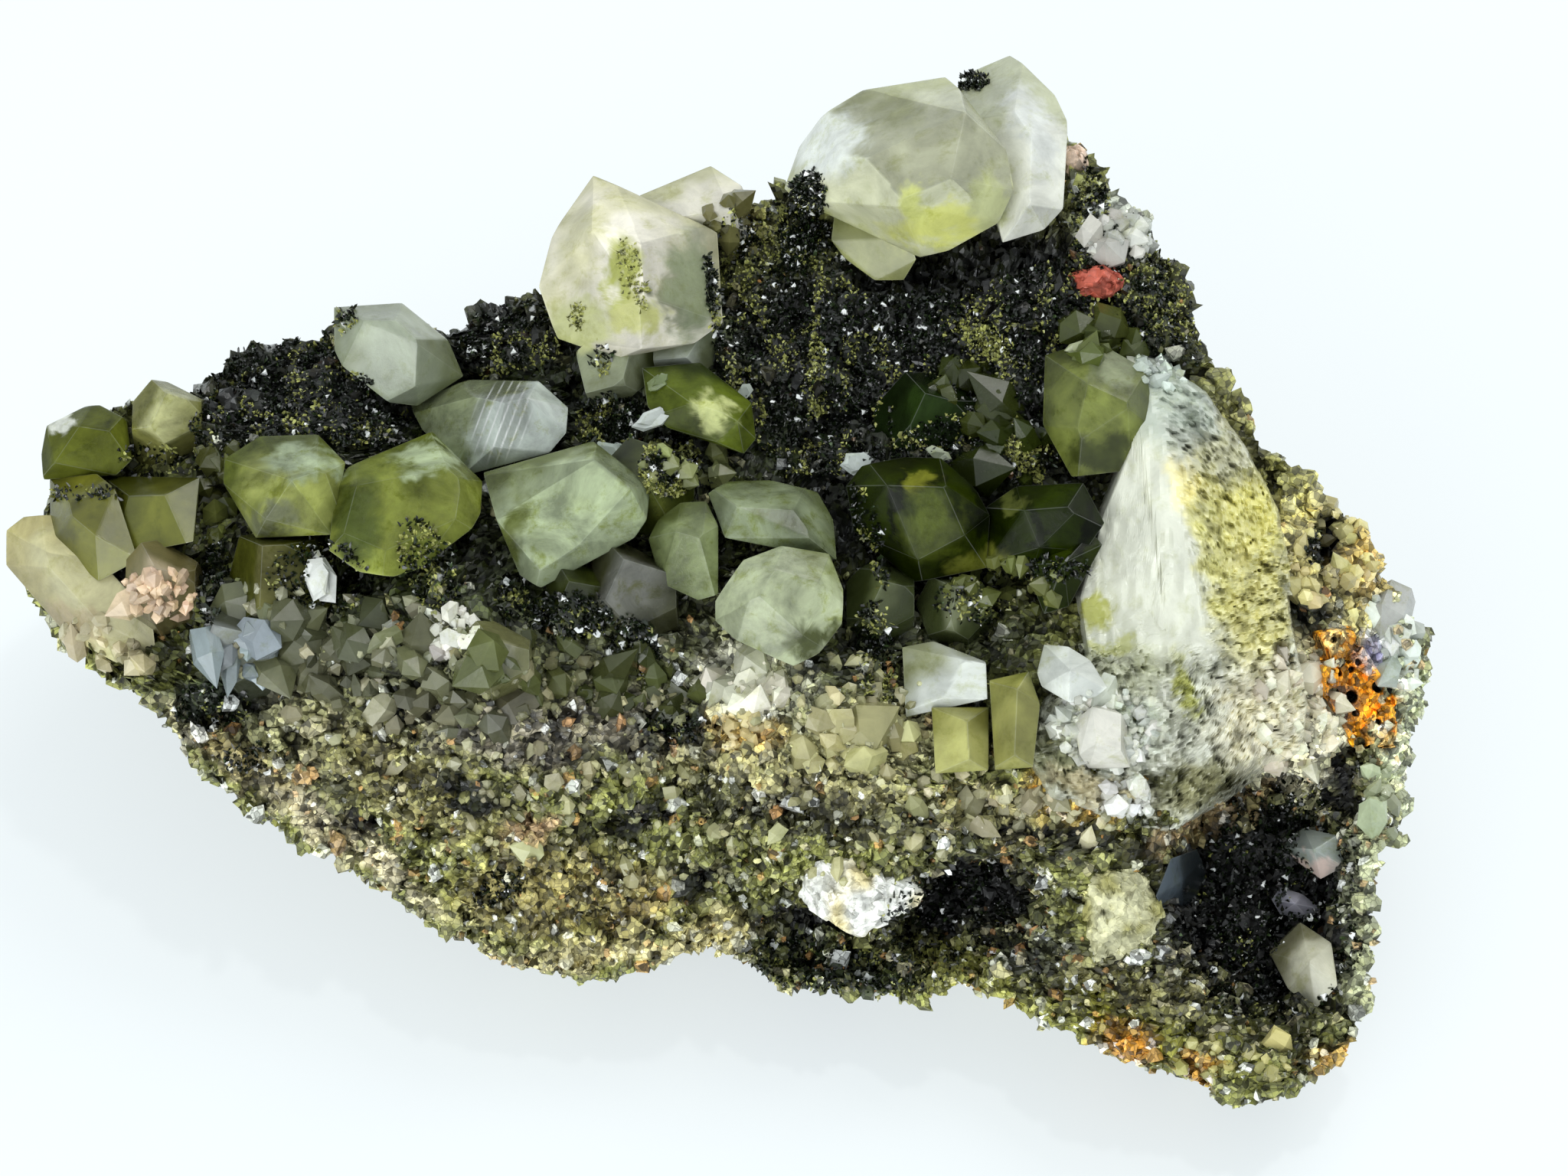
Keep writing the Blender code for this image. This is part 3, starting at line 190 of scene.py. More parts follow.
# (u, v, half sizes, turn in degrees, screen colour) of the rock's stains, and of painted shade between the
# crystals
ROCK_STAINS_AND_SHADE = [
    (-30, -2.5, 12, 4.0, -12, (100, 102, 74)), (-31, -9.5, 7, 3.4, -24, (140, 138, 100)),
    (-8, -3.5, 13, 4.0, -5, (84, 86, 58)), (8, -3.0, 9, 4.5, 0, (58, 62, 34)),
    # The two wide dark olive patches on the next line, and the first patch three lines below it, are in
    # part the rock's olive colour and in part painted shade between the crystals.
    (-12, 12, 30, 9, 0, (36, 42, 16)), (-20, 2.0, 22, 5.0, 4, (50, 56, 26)),
    (-38, 1.0, 6, 8, 0, (66, 70, 32)), (-31.5, 12.6, 8.4, 4.2, 0, (13, 16, 9)),
    (12, 16, 17, 10, 0, (9, 12, 5)), (-18.5, 16.8, 4.5, 2.6, 0, (18, 21, 12)),
    (10, 4.6, 11, 5.0, 0, (26, 30, 12)), (-37, -7.8, 3.2, 2.2, 0, (38, 46, 30)),
    (-18.1, -19.3, 1.8, 1.1, 30, (22, 28, 18)), (-18, -9.3, 5.5, 2.2, -10, (112, 106, 90)),
    (-9.5, -9.0, 5.5, 2.0, -8, (116, 110, 94)), (-27.3, -15.3, 2.6, 0.6, -35, (24, 20, 14)),
    (-10.4, -20.0, 2.2, 1.7, 20, (160, 112, 54)), (-16.5, -16.0, 1.8, 1.0, 0, (190, 158, 120)),
    (-4.3, -22.6, 3.6, 1.3, 12, (206, 194, 136)), (-31, -14.5, 11, 0.9, -35, (196, 186, 152)),
    (-13, -23.6, 9, 0.9, 5, (196, 186, 134)), (-7.3, -8.8, 2.6, 1.5, -10, (22, 28, 20)),
    (-2.2, -9.2, 2.4, 1.5, 0, (206, 172, 96)), (5.0, -9.8, 5.0, 2.2, 0, (206, 202, 154)),
    (-2.2, -6.0, 3.2, 2.0, 0, (232, 230, 206)), (1.0, -12.4, 8.0, 1.4, -10, (150, 144, 100)),
    (3.0, -14.6, 8.0, 1.4, -8, (74, 72, 46)), (-24, -12.5, 6.5, 2.6, -25, (128, 122, 76)),
    (-35, -11.0, 3.0, 1.4, -30, (150, 138, 92)), (-14, -19.5, 7.0, 2.8, 0, (134, 124, 74)),
    (-20.6, -13.0, 2.4, 0.9, -20, (26, 28, 16)), (-9.0, -14.6, 2.6, 0.8, 10, (30, 32, 18)),
    (-5.4, -18.8, 1.6, 1.1, 0, (28, 30, 16)), (-24.6, -6.6, 1.9, 1.4, 0, (34, 36, 20)),
    (12.0, -20.6, 5.4, 4.0, 20, (5, 6, 5)), (1.0, -21.4, 3.6, 1.3, -8, (8, 10, 7)),
    (3.2, -24.4, 6.0, 1.5, -8, (40, 48, 24)), (14.0, -25.8, 5.5, 1.5, -20, (150, 150, 76)),
    (16.5, -23.6, 4.5, 1.8, -20, (58, 60, 44)), (24, -28.2, 6.5, 1.6, -20, (124, 122, 40)),
    (21.6, -28.9, 1.7, 1.3, 0, (186, 130, 46)), (26.4, -30.6, 1.1, 1.0, 0, (192, 138, 54)),
    (34.8, -29.6, 1.5, 0.9, 20, (214, 170, 88)), (30.4, -20.4, 7.8, 8.6, -8, (4, 5, 4)),
    (40.4, -8, 2.4, 9, 8, (206, 212, 178)), (37.4, -22, 1.3, 7, 0, (170, 174, 140)),
    (34.5, 1.4, 4.6, 5.4, 0, (226, 214, 146)), (30.5, 10.5, 3.0, 5, 0, (150, 148, 92)),
    (33.4, -8.4, 3.0, 4.6, 0, (240, 234, 206)), (34.2, -1.4, 1.7, 1.6, 0, (66, 68, 56)),
    (37.6, 1.8, 1.9, 2.6, 0, (214, 186, 110)), (37.9, -4.4, 1.3, 1.1, 0, (150, 148, 176)),
    (35.4, 3.2, 1.0, 2.4, 0, (4, 4, 3)), (36.4, -12.5, 1.2, 2.4, 0, (8, 8, 6)),
    (38.9, -6.4, 0.6, 0.7, 0, (6, 6, 5)), (34.6, 2.4, 0.6, 1.0, 0, (6, 6, 5)),
    (18.6, -13.4, 2.6, 1.1, -15, (232, 190, 96)), (22, -16.2, 4.5, 1.0, -15, (70, 68, 34)),
    (13.6, -14.6, 3.6, 1.6, -15, (190, 180, 128)), (27.5, -14.9, 4.5, 0.8, 22, (150, 128, 92)),
    (22.0, 24.0, 2.4, 2.0, 0, (190, 194, 180)), (16.6, -15.8, 5.4, 0.9, -12, (44, 44, 24)),
    (23.0, -25.4, 5.5, 1.6, -10, (104, 100, 62)), (-3.2, 24.4, 1.8, 1.8, 0, (120, 112, 66)),
]  # fmt: skip


def unit(vectors):
    """Each vector at length one."""
    vectors = np.asarray(vectors, float)
    return vectors / np.maximum(np.linalg.norm(vectors, axis=-1, keepdims=True), 1e-12)


def smooth_step(low, high, value):
    """0 below low, 1 above high, and a smooth rise between them."""
    share = np.clip((value - low) / (high - low), 0, 1)
    return share * share * (3 - 2 * share)


def lattice(i, j, seed, k=0):
    """A repeatable number from 0 to 1 for each lattice point: the fraction of a large sine."""
    return np.modf(np.abs(np.sin(i * 127.1 + j * 311.7 + k * 191.9 + seed * 74.7) * 43758.5453))[0]


def broken(u, v, size, seed):
    """Flat breaks, about -1 to 1: each point takes the height and slope of its nearest scattered seed."""
    gu, gv = np.asarray(u, float) / size, np.asarray(v, float) / size
    nearest, height = np.full(gu.shape, np.inf), np.zeros(gu.shape)
    for step_u, step_v in itertools.product((-1, 0, 1), repeat=2):
        i, j = np.floor(gu) + step_u, np.floor(gv) + step_v
        off_u, off_v = gu - i - lattice(i, j, seed), gv - j - lattice(i, j, seed + 1)
        slope_u, slope_v = 2 * lattice(i, j, seed + 2) - 1, 2 * lattice(i, j, seed + 3) - 1
        level = 2 * lattice(i, j, seed + 4) - 1
        away = off_u**2 + off_v**2
        height = np.where(away < nearest, 0.5 * level + slope_u * off_u + slope_v * off_v, height)
        nearest = np.minimum(nearest, away)
    return height


def chips(points, size, seed):
    """The same breaks through space: the height at each point, and its nearest seed's number, 0 to 1."""
    grid = np.asarray(points, float) / size
    cell = np.floor(grid)
    nearest = np.full(len(grid), np.inf)
    height, pick = np.zeros(len(grid)), np.zeros(len(grid))
    for step in np.ndindex(3, 3, 3):
        i, j, k = (cell + np.array(step) - 1).T
        scatter = np.stack([lattice(i, j, seed + n, k) for n in range(3)], -1)
        off = grid - (np.stack([i, j, k], -1) + scatter)
        slope = np.stack([lattice(i, j, seed + n, k) for n in (3, 4, 5)], -1) * 2 - 1
        away = (off**2).sum(-1)
        number = lattice(i, j, seed + 6, k)
        closer = away < nearest
        height = np.where(closer, number - 0.5 + (slope * off).sum(-1), height)
        pick = np.where(closer, number, pick)
        nearest = np.minimum(nearest, away)
    return height, pick


def clouds(points, size, seed):
    """Soft unevenness, -1 to 1: numbers at the corners of a lattice, blended smoothly between them."""
    grid = np.asarray(points, float) / size
    cell = np.floor(grid)
    part = grid - cell
    part = part * part * (3 - 2 * part)
    total = np.zeros(len(grid))
    for corner in np.ndindex(2, 2, 2):
        i, j, k = (cell + np.array(corner)).T
        share = np.prod(np.where(np.array(corner) == 1, part, 1 - part), axis=1)
        total += share * lattice(i, j, seed, k)
    return 2 * total - 1


def inside(u, v, polygon):
    """True inside the polygon: a ray from there crosses its sides an odd number of times."""
    within = np.zeros(np.shape(u), bool)
    for (u0, v0), (u1, v1) in zip(polygon, polygon[1:] + polygon[:1]):
        if v0 != v1:
            within ^= ((v0 > v) != (v1 > v)) & (u < (u1 - u0) * (v - v0) / (v1 - v0) + u0)
    return within


def in_ellipse(u, v, middle_u, middle_v, half_u, half_v, turn):
    """Distance from the middle of a turned ellipse, as a share of the way to its edge."""
    c, s = math.cos(math.radians(turn)), math.sin(math.radians(turn))
    across = ((u - middle_u) * c + (v - middle_v) * s) / half_u
    up = ((v - middle_v) * c - (u - middle_u) * s) / half_v
    return np.hypot(across, up)


def outline_radius(angle, outline, middle):
    """Distance from the middle to the outline at each angle, along the sides between its points."""
    points = np.array(outline) - middle
    around = np.arctan2(points[:, 1], points[:, 0])
    points = points[np.argsort(around)]
    after = np.searchsorted(np.sort(around), angle) % len(points)
    start, side = points[after - 1], points[after] - points[after - 1]
    turn = start[..., 0] * side[..., 1] - start[..., 1] * side[..., 0]
    return turn / (np.cos(angle) * side[..., 1] - np.sin(angle) * side[..., 0])


def hollow_depth(u, v):
    """Flat-bottomed hollows with a steep wall round an ellipse. None of them cuts through the rim."""
    off_u, off_v = u - MIDDLE[0], v - MIDDLE[1]
    inward = 1 - np.hypot(off_u, off_v) / outline_radius(np.arctan2(off_v, off_u), OUTLINE, MIDDLE)
    depth = np.zeros(np.shape(u))
    for *ellipse, deep in HOLLOWS:
        wall = np.clip((HOLLOW_RIM - in_ellipse(u, v, *ellipse)) / HOLLOW_WALL, 0, 1)
        depth = np.maximum(depth, deep * wall * wall * (3 - 2 * wall))
    return depth * np.clip(inward / RIM_WALL, 0, 1)


def ground(v):
    """Where w meets the table."""
    return -v / math.tan(FACE_ELEVATION)


def lie(u, v):
    """How far out the rock reaches: a soft average of the nearby places, less the hollows, broken up."""
    u, v = np.asarray(u, float), np.asarray(v, float)
    total, weights = np.zeros(u.shape), np.full(u.shape, 1e-12)
    for place_u, place_v, place_w in RIM_LIE + INNER_LIE:
        weight = np.exp(-((u - place_u) ** 2 + (v - place_v) ** 2) / (2 * PLACE_REACH**2)) + 1e-9
        total += weight * place_w
        weights += weight
    out = total / weights - hollow_depth(u, v)
    for height, size, seed in BREAKS:
        out += height * broken(u, v, size, seed)
    return np.maximum(out, ground(v) + LEAST_HEIGHT)


def outline_grid(outline, middle, cells):
    """(u, v, share of the way to the outline) of a square grid whose rings of squares are drawn round."""
    a, b = np.meshgrid(np.linspace(-1, 1, cells[0] + 1), np.linspace(-1, 1, cells[1] + 1), indexing="ij")
    share = np.maximum(np.abs(a), np.abs(b))
    wide = np.abs(a) >= np.abs(b)
    with np.errstate(divide="ignore", invalid="ignore"):
        turn = np.where(wide, math.pi / 4 * b / a, math.pi / 2 - math.pi / 4 * a / b)
    turn = np.where(share == 0, 0, np.where(np.where(wide, a, b) < 0, turn + math.pi, turn))
    angle = np.arctan2(np.sin(turn), np.cos(turn))
    reach = share * outline_radius(angle, outline, middle)
    return middle[0] + reach * np.cos(angle), middle[1] + reach * np.sin(angle), share


def squares(index):
    """The corners of each square of a grid of point numbers, as two triangles."""
    a, b, c, d = (k.ravel() for k in (index[:-1, :-1], index[1:, :-1], index[1:, 1:], index[:-1, 1:]))
    return np.concatenate([np.stack([a, b, c], -1), np.stack([a, c, d], -1)])


def normals_of(points, faces):
    """The direction that the surface looks in at each point: the sum over the triangles round it."""
    a, b, c = (points[faces[:, k]] for k in range(3))
    across = np.cross(b - a, c - a)
    total = np.zeros(points.shape)
    for k in range(3):
        np.add.at(total, faces[:, k], across)
    return unit(total)


def stained(points, tones, stains, ragged_by, ragged_size):
    """The tones with each patch's colour laid over them in turn, out to a ragged edge. Most patches are
    stains; some are painted shade or painted highlights.
    """
    drift = np.stack(
        [sum(0.5**k * clouds(points, ragged_size / 3**k, n) for k in range(3)) for n in (61, 62)], -1
    )
    u, v = (points[:, :2] + ragged_by * drift).T
    tones = tones + np.zeros((len(points), 1))
    for *ellipse, colour in stains:
        cover = smooth_step(STAIN_OUTER, STAIN_INNER, in_ellipse(u, v, *ellipse))[:, None]
        tones += cover * (linear(*colour) - tones)
    return tones


def add_piece(name, points, faces, tones, material, slot, nodes=(), crease=0.0, **values):
    """A new object from arrays in face millimetres, with its colours and other values as attributes. Its
    edges stay sharp where they turn by more than the crease."""
    mesh = bpy.data.meshes.new(name)
    mesh.vertices.add(len(points))
    mesh.vertices.foreach_set("co", to_room(points).ravel())
    mesh.loops.add(faces.size)
    mesh.loops.foreach_set("vertex_index", faces.ravel().astype(np.int32))
    mesh.polygons.add(len(faces))
    mesh.polygons.foreach_set("loop_start", np.arange(len(faces), dtype=np.int32) * faces.shape[1])
    mesh.update(calc_edges=True)
    mesh.polygons.foreach_set("use_smooth", np.full(len(faces), crease > 0))
    if crease:
        mesh.set_sharp_from_angle(angle=crease)
    colours = mesh.attributes.new("tone", "FLOAT_COLOR", "POINT")
    colours.data.foreach_set("color", np.column_stack([np.clip(tones, 0, 1), np.ones(len(points))]).ravel())
    for value, numbers in values.items():
        numbers = np.broadcast_to(np.asarray(numbers, np.float32), len(points))
        attribute = mesh.attributes.new(value, "FLOAT", "POINT")
        attribute.data.foreach_set("value", np.ascontiguousarray(numbers))
    mesh.materials.append(material)
    piece = bpy.data.objects.new(name, mesh)
    bpy.context.scene.collection.objects.link(piece)
    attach(piece, "root")
    if nodes:
        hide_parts(*nodes)


def rock_skin():
    """Points and triangles. In front, the grid with its ledges low at the right. Behind, each ring is the
    border drawn in along a superellipse, which a flat ground then cuts off."""
    u, v, share = outline_grid(OUTLINE, MIDDLE, FACE_CELLS)
    wavy = clouds(np.stack([u, v, 0 * u], -1).reshape(-1, 3), 4.0, 5).reshape(u.shape)
    along = np.abs(v + LEDGE_SLANT * u + LEDGE_WAVE * wavy) / LEDGE_PITCH
    ledges = LEDGE_HEIGHT * (np.modf(along)[0] - 0.5)
    low_right = np.clip((-v - LEDGES_BELOW) / 2, 0, 1) * np.clip((u - LEDGES_RIGHT_OF) / 4, 0, 1)
    front = np.stack([u, v, np.maximum(lie(u, v) + ledges * low_right, ground(v) + LEAST_HEIGHT)], -1)
    index = np.arange(share.size).reshape(share.shape)
    border = np.concatenate([index[:-1, 0], index[-1, :-1], index[:0:-1, -1], index[0, :0:-1]])
    start = front.reshape(-1, 3)[border]
    turns = np.linspace(0, math.pi / 2, UNDER_RINGS + 1)[1:-1, None]
    inwards = np.cos(turns) ** (2 / UNDERCUT)
    ring_u = MIDDLE[0] + inwards * (start[:, 0] - MIDDLE[0])
    ring_v = MIDDLE[1] + inwards * (start[:, 1] - MIDDLE[1])
    uneven, size, seed = UNDER_BREAKS
    deep = THICKNESS * np.sin(turns) ** (2 / UNDERCUT) * (1 + uneven * broken(ring_u, ring_v, size, seed))
    sunk = np.maximum(deep - hollow_depth(ring_u, ring_v), LEAST_DEEP * deep)
    ring_w = np.maximum(lie(ring_u, ring_v) - sunk, ground(ring_v))
    rings = np.stack([ring_u, ring_v, ring_w], -1)
    pole = np.array([[*MIDDLE, ground(MIDDLE[1])]])
    points = np.concatenate([front.reshape(-1, 3), rings.reshape(-1, 3), pole])
    count, around = share.size, len(border)
    tube = np.concatenate([border[None], count + np.arange(rings[..., 0].size).reshape(len(turns), around)])
    tube = np.concatenate([tube, tube[:, :1]], axis=1)
    cap = np.stack([tube[-1, :-1], np.full(around, len(points) - 1), tube[-1, 1:]], -1)
    return points, np.concatenate([squares(index), squares(tube), cap])


def new_group(name, inputs, outputs):
    """An empty node group with those sockets, its two ends, and a function that adds a node to it."""
    group = bpy.data.node_groups.new(name, "ShaderNodeTree")
    for socket, kind in inputs:
        group.interface.new_socket(socket, in_out="INPUT", socket_type=kind)
    for socket, kind in outputs:
        group.interface.new_socket(socket, in_out="OUTPUT", socket_type=kind)

    def add(kind, settings=(), **sockets):
        node = group.nodes.new(kind)
        for setting, value in dict(settings).items():
            setattr(node, setting, value)
        for socket, value in sockets.items():
            socket = int(socket[1:]) if socket[0] == "_" else socket.replace("_", " ")
            if isinstance(value, bpy.types.NodeSocket):
                group.links.new(value, node.inputs[socket])
            else:
                node.inputs[socket].default_value = value
        return node

    return group, group.nodes.new("NodeGroupInput").outputs, group.nodes.new("NodeGroupOutput").inputs, add


# Rock grain: space is split into cells, each with its own brightness, polish and tilt, dark between them.
FLOAT, COLOUR, VECTOR = "NodeSocketFloat", "NodeSocketColor", "NodeSocketVector"
grain_effect, given, result, add = new_group(
    "grains of rock",
    [("Tone", COLOUR), ("Scale", FLOAT), ("Contrast", FLOAT)],
    [("Colour", COLOUR), ("Roughness", FLOAT), ("Normal", VECTOR)],
)
where = add("ShaderNodeTexCoord").outputs["Object"]
cells = add("ShaderNodeTexVoronoi", Vector=where, Scale=given["Scale"], Randomness=1.0)
rims = add("ShaderNodeTexVoronoi", {"feature": "DISTANCE_TO_EDGE"}, Vector=where, Scale=given["Scale"])
parts = add("ShaderNodeSeparateColor", Color=cells.outputs["Color"])
dust = add("ShaderNodeTexNoise", Vector=where, Scale=1100.0, Detail=4.0, Roughness=0.7)
lighter = add("ShaderNodeMapRange", _0=parts.outputs["Red"], To_Min=0.22, To_Max=2.15)
milder = add("ShaderNodeMix", _0=given["Contrast"], _2=1.0, _3=lighter.outputs[0])
shaded = add("ShaderNodeVectorMath", {"operation": "SCALE"}, _0=given["Tone"], Scale=milder.outputs[0])
gap = add("ShaderNodeMapRange", _0=rims.outputs["Distance"], From_Max=0.08, To_Min=0.4, To_Max=1.0)
cracks = add("ShaderNodeMix", _0=given["Contrast"], _2=1.0, _3=gap.outputs[0])
gapped = add("ShaderNodeVectorMath", {"operation": "SCALE"}, _0=shaded.outputs[0], Scale=cracks.outputs[0])
motes = add("ShaderNodeMapRange", _0=dust.outputs[0], From_Min=0.3, From_Max=0.7, To_Min=0.6, To_Max=1.4)
dusty = add("ShaderNodeVectorMath", {"operation": "SCALE"}, _0=gapped.outputs[0], Scale=motes.outputs[0])
grain_effect.links.new(dusty.outputs[0], result["Colour"])
polish = add("ShaderNodeMapRange", _0=parts.outputs["Green"], To_Min=0.16, To_Max=0.85)
grain_effect.links.new(polish.outputs[0], result["Roughness"])
off = add("ShaderNodeVectorMath", {"operation": "SUBTRACT"}, _0=where, _1=cells.outputs["Position"])
lean = add("ShaderNodeVectorMath", {"operation": "SUBTRACT"}, _0=cells.outputs["Color"], _1=(0.5, 0.5, 0.5))
tilt = add("ShaderNodeVectorMath", {"operation": "DOT_PRODUCT"}, _0=off.outputs[0], _1=lean.outputs[0])
heights = add(
    "ShaderNodeMath", {"operation": "MULTIPLY_ADD"},
    _0=dust.outputs[0], _1=0.00006, _2=tilt.outputs["Value"],
)  # fmt: skip
bump = add("ShaderNodeBump", Strength=1.0, Distance=1.4, Height=heights.outputs[0])
grain_effect.links.new(bump.outputs[0], result["Normal"])


def paint_rock(name, grain, contrast, shine):
    """A finish whose colour is the tone attribute, in grains of that size in mm and that contrast."""
    material = bpy.data.materials.new(name)
    material.use_nodes = True
    nodes, links = material.node_tree.nodes, material.node_tree.links
    shader = nodes["Principled BSDF"]
    tone = nodes.new("ShaderNodeAttribute")
    tone.attribute_name = "tone"
    grains = nodes.new("ShaderNodeGroup")
    grains.node_tree = grain_effect
    grains.inputs["Scale"].default_value = 1 / (grain * MM)
    grains.inputs["Contrast"].default_value = contrast
    links.new(tone.outputs["Color"], grains.inputs["Tone"])
    links.new(grains.outputs["Colour"], shader.inputs["Base Color"])
    links.new(grains.outputs["Roughness"], shader.inputs["Roughness"])
    links.new(grains.outputs["Normal"], shader.inputs["Normal"])
    shader.inputs["Specular IOR Level"].default_value = shine
    return material


rock_finish = paint_rock("granular rock", 0.42, 1.0, 0.6)
rock_points, rock_faces = rock_skin()
rock_normals = normals_of(rock_points, rock_faces)
off_table = np.clip(to_room(rock_points)[:, 2] / MM / CLEAR_OF_TABLE, 0, 1)
facing = rock_points[:, 2] > lie(rock_points[:, 0], rock_points[:, 1]) - 0.01
rise = SWELL_HEIGHT * clouds(rock_points, 3.1, 17)
for polygon in DRUSES.values():
    in_druse = inside(rock_points[:, 0], rock_points[:, 1], polygon) & facing
    rise += DRUSE_MOUND * in_druse * (1 + clouds(rock_points, 2.2, 19))
crumb_and_shade = np.ones(len(rock_points))
for height, size, seed in CHIPPING:
    chip, pick = chips(rock_points, size, seed)
    rise += height * chip
    # Each break takes its own random tone, and its low parts are darkened as well: painted shade in the
    # hollows of the breaks.
    crumb_and_shade *= (0.70 + 0.60 * pick) * (0.62 + 0.38 * smooth_step(-0.7, 0.1, chip))
rock_points = rock_points + rock_normals * (rise * off_table)[:, None]
rock_points[:, 2] = np.maximum(rock_points[:, 2], ground(rock_points[:, 1]))
over_face = rock_points[:, 2] - lie(rock_points[:, 0], rock_points[:, 1])
front = smooth_step(BEHIND, IN_FRONT, over_face + 2 * rise)
rock_tones = stained(rock_points, ROCK_TONE, ROCK_STAINS_AND_SHADE, RAGGED_BY, RAGGED_SIZE)
rock_tones = (ROCK_TONE + front[:, None] * (rock_tones - ROCK_TONE)) * crumb_and_shade[:, None]
add_piece("broken_rock", rock_points, rock_faces, rock_tones, rock_finish, "rock", ["matrix_rock"])

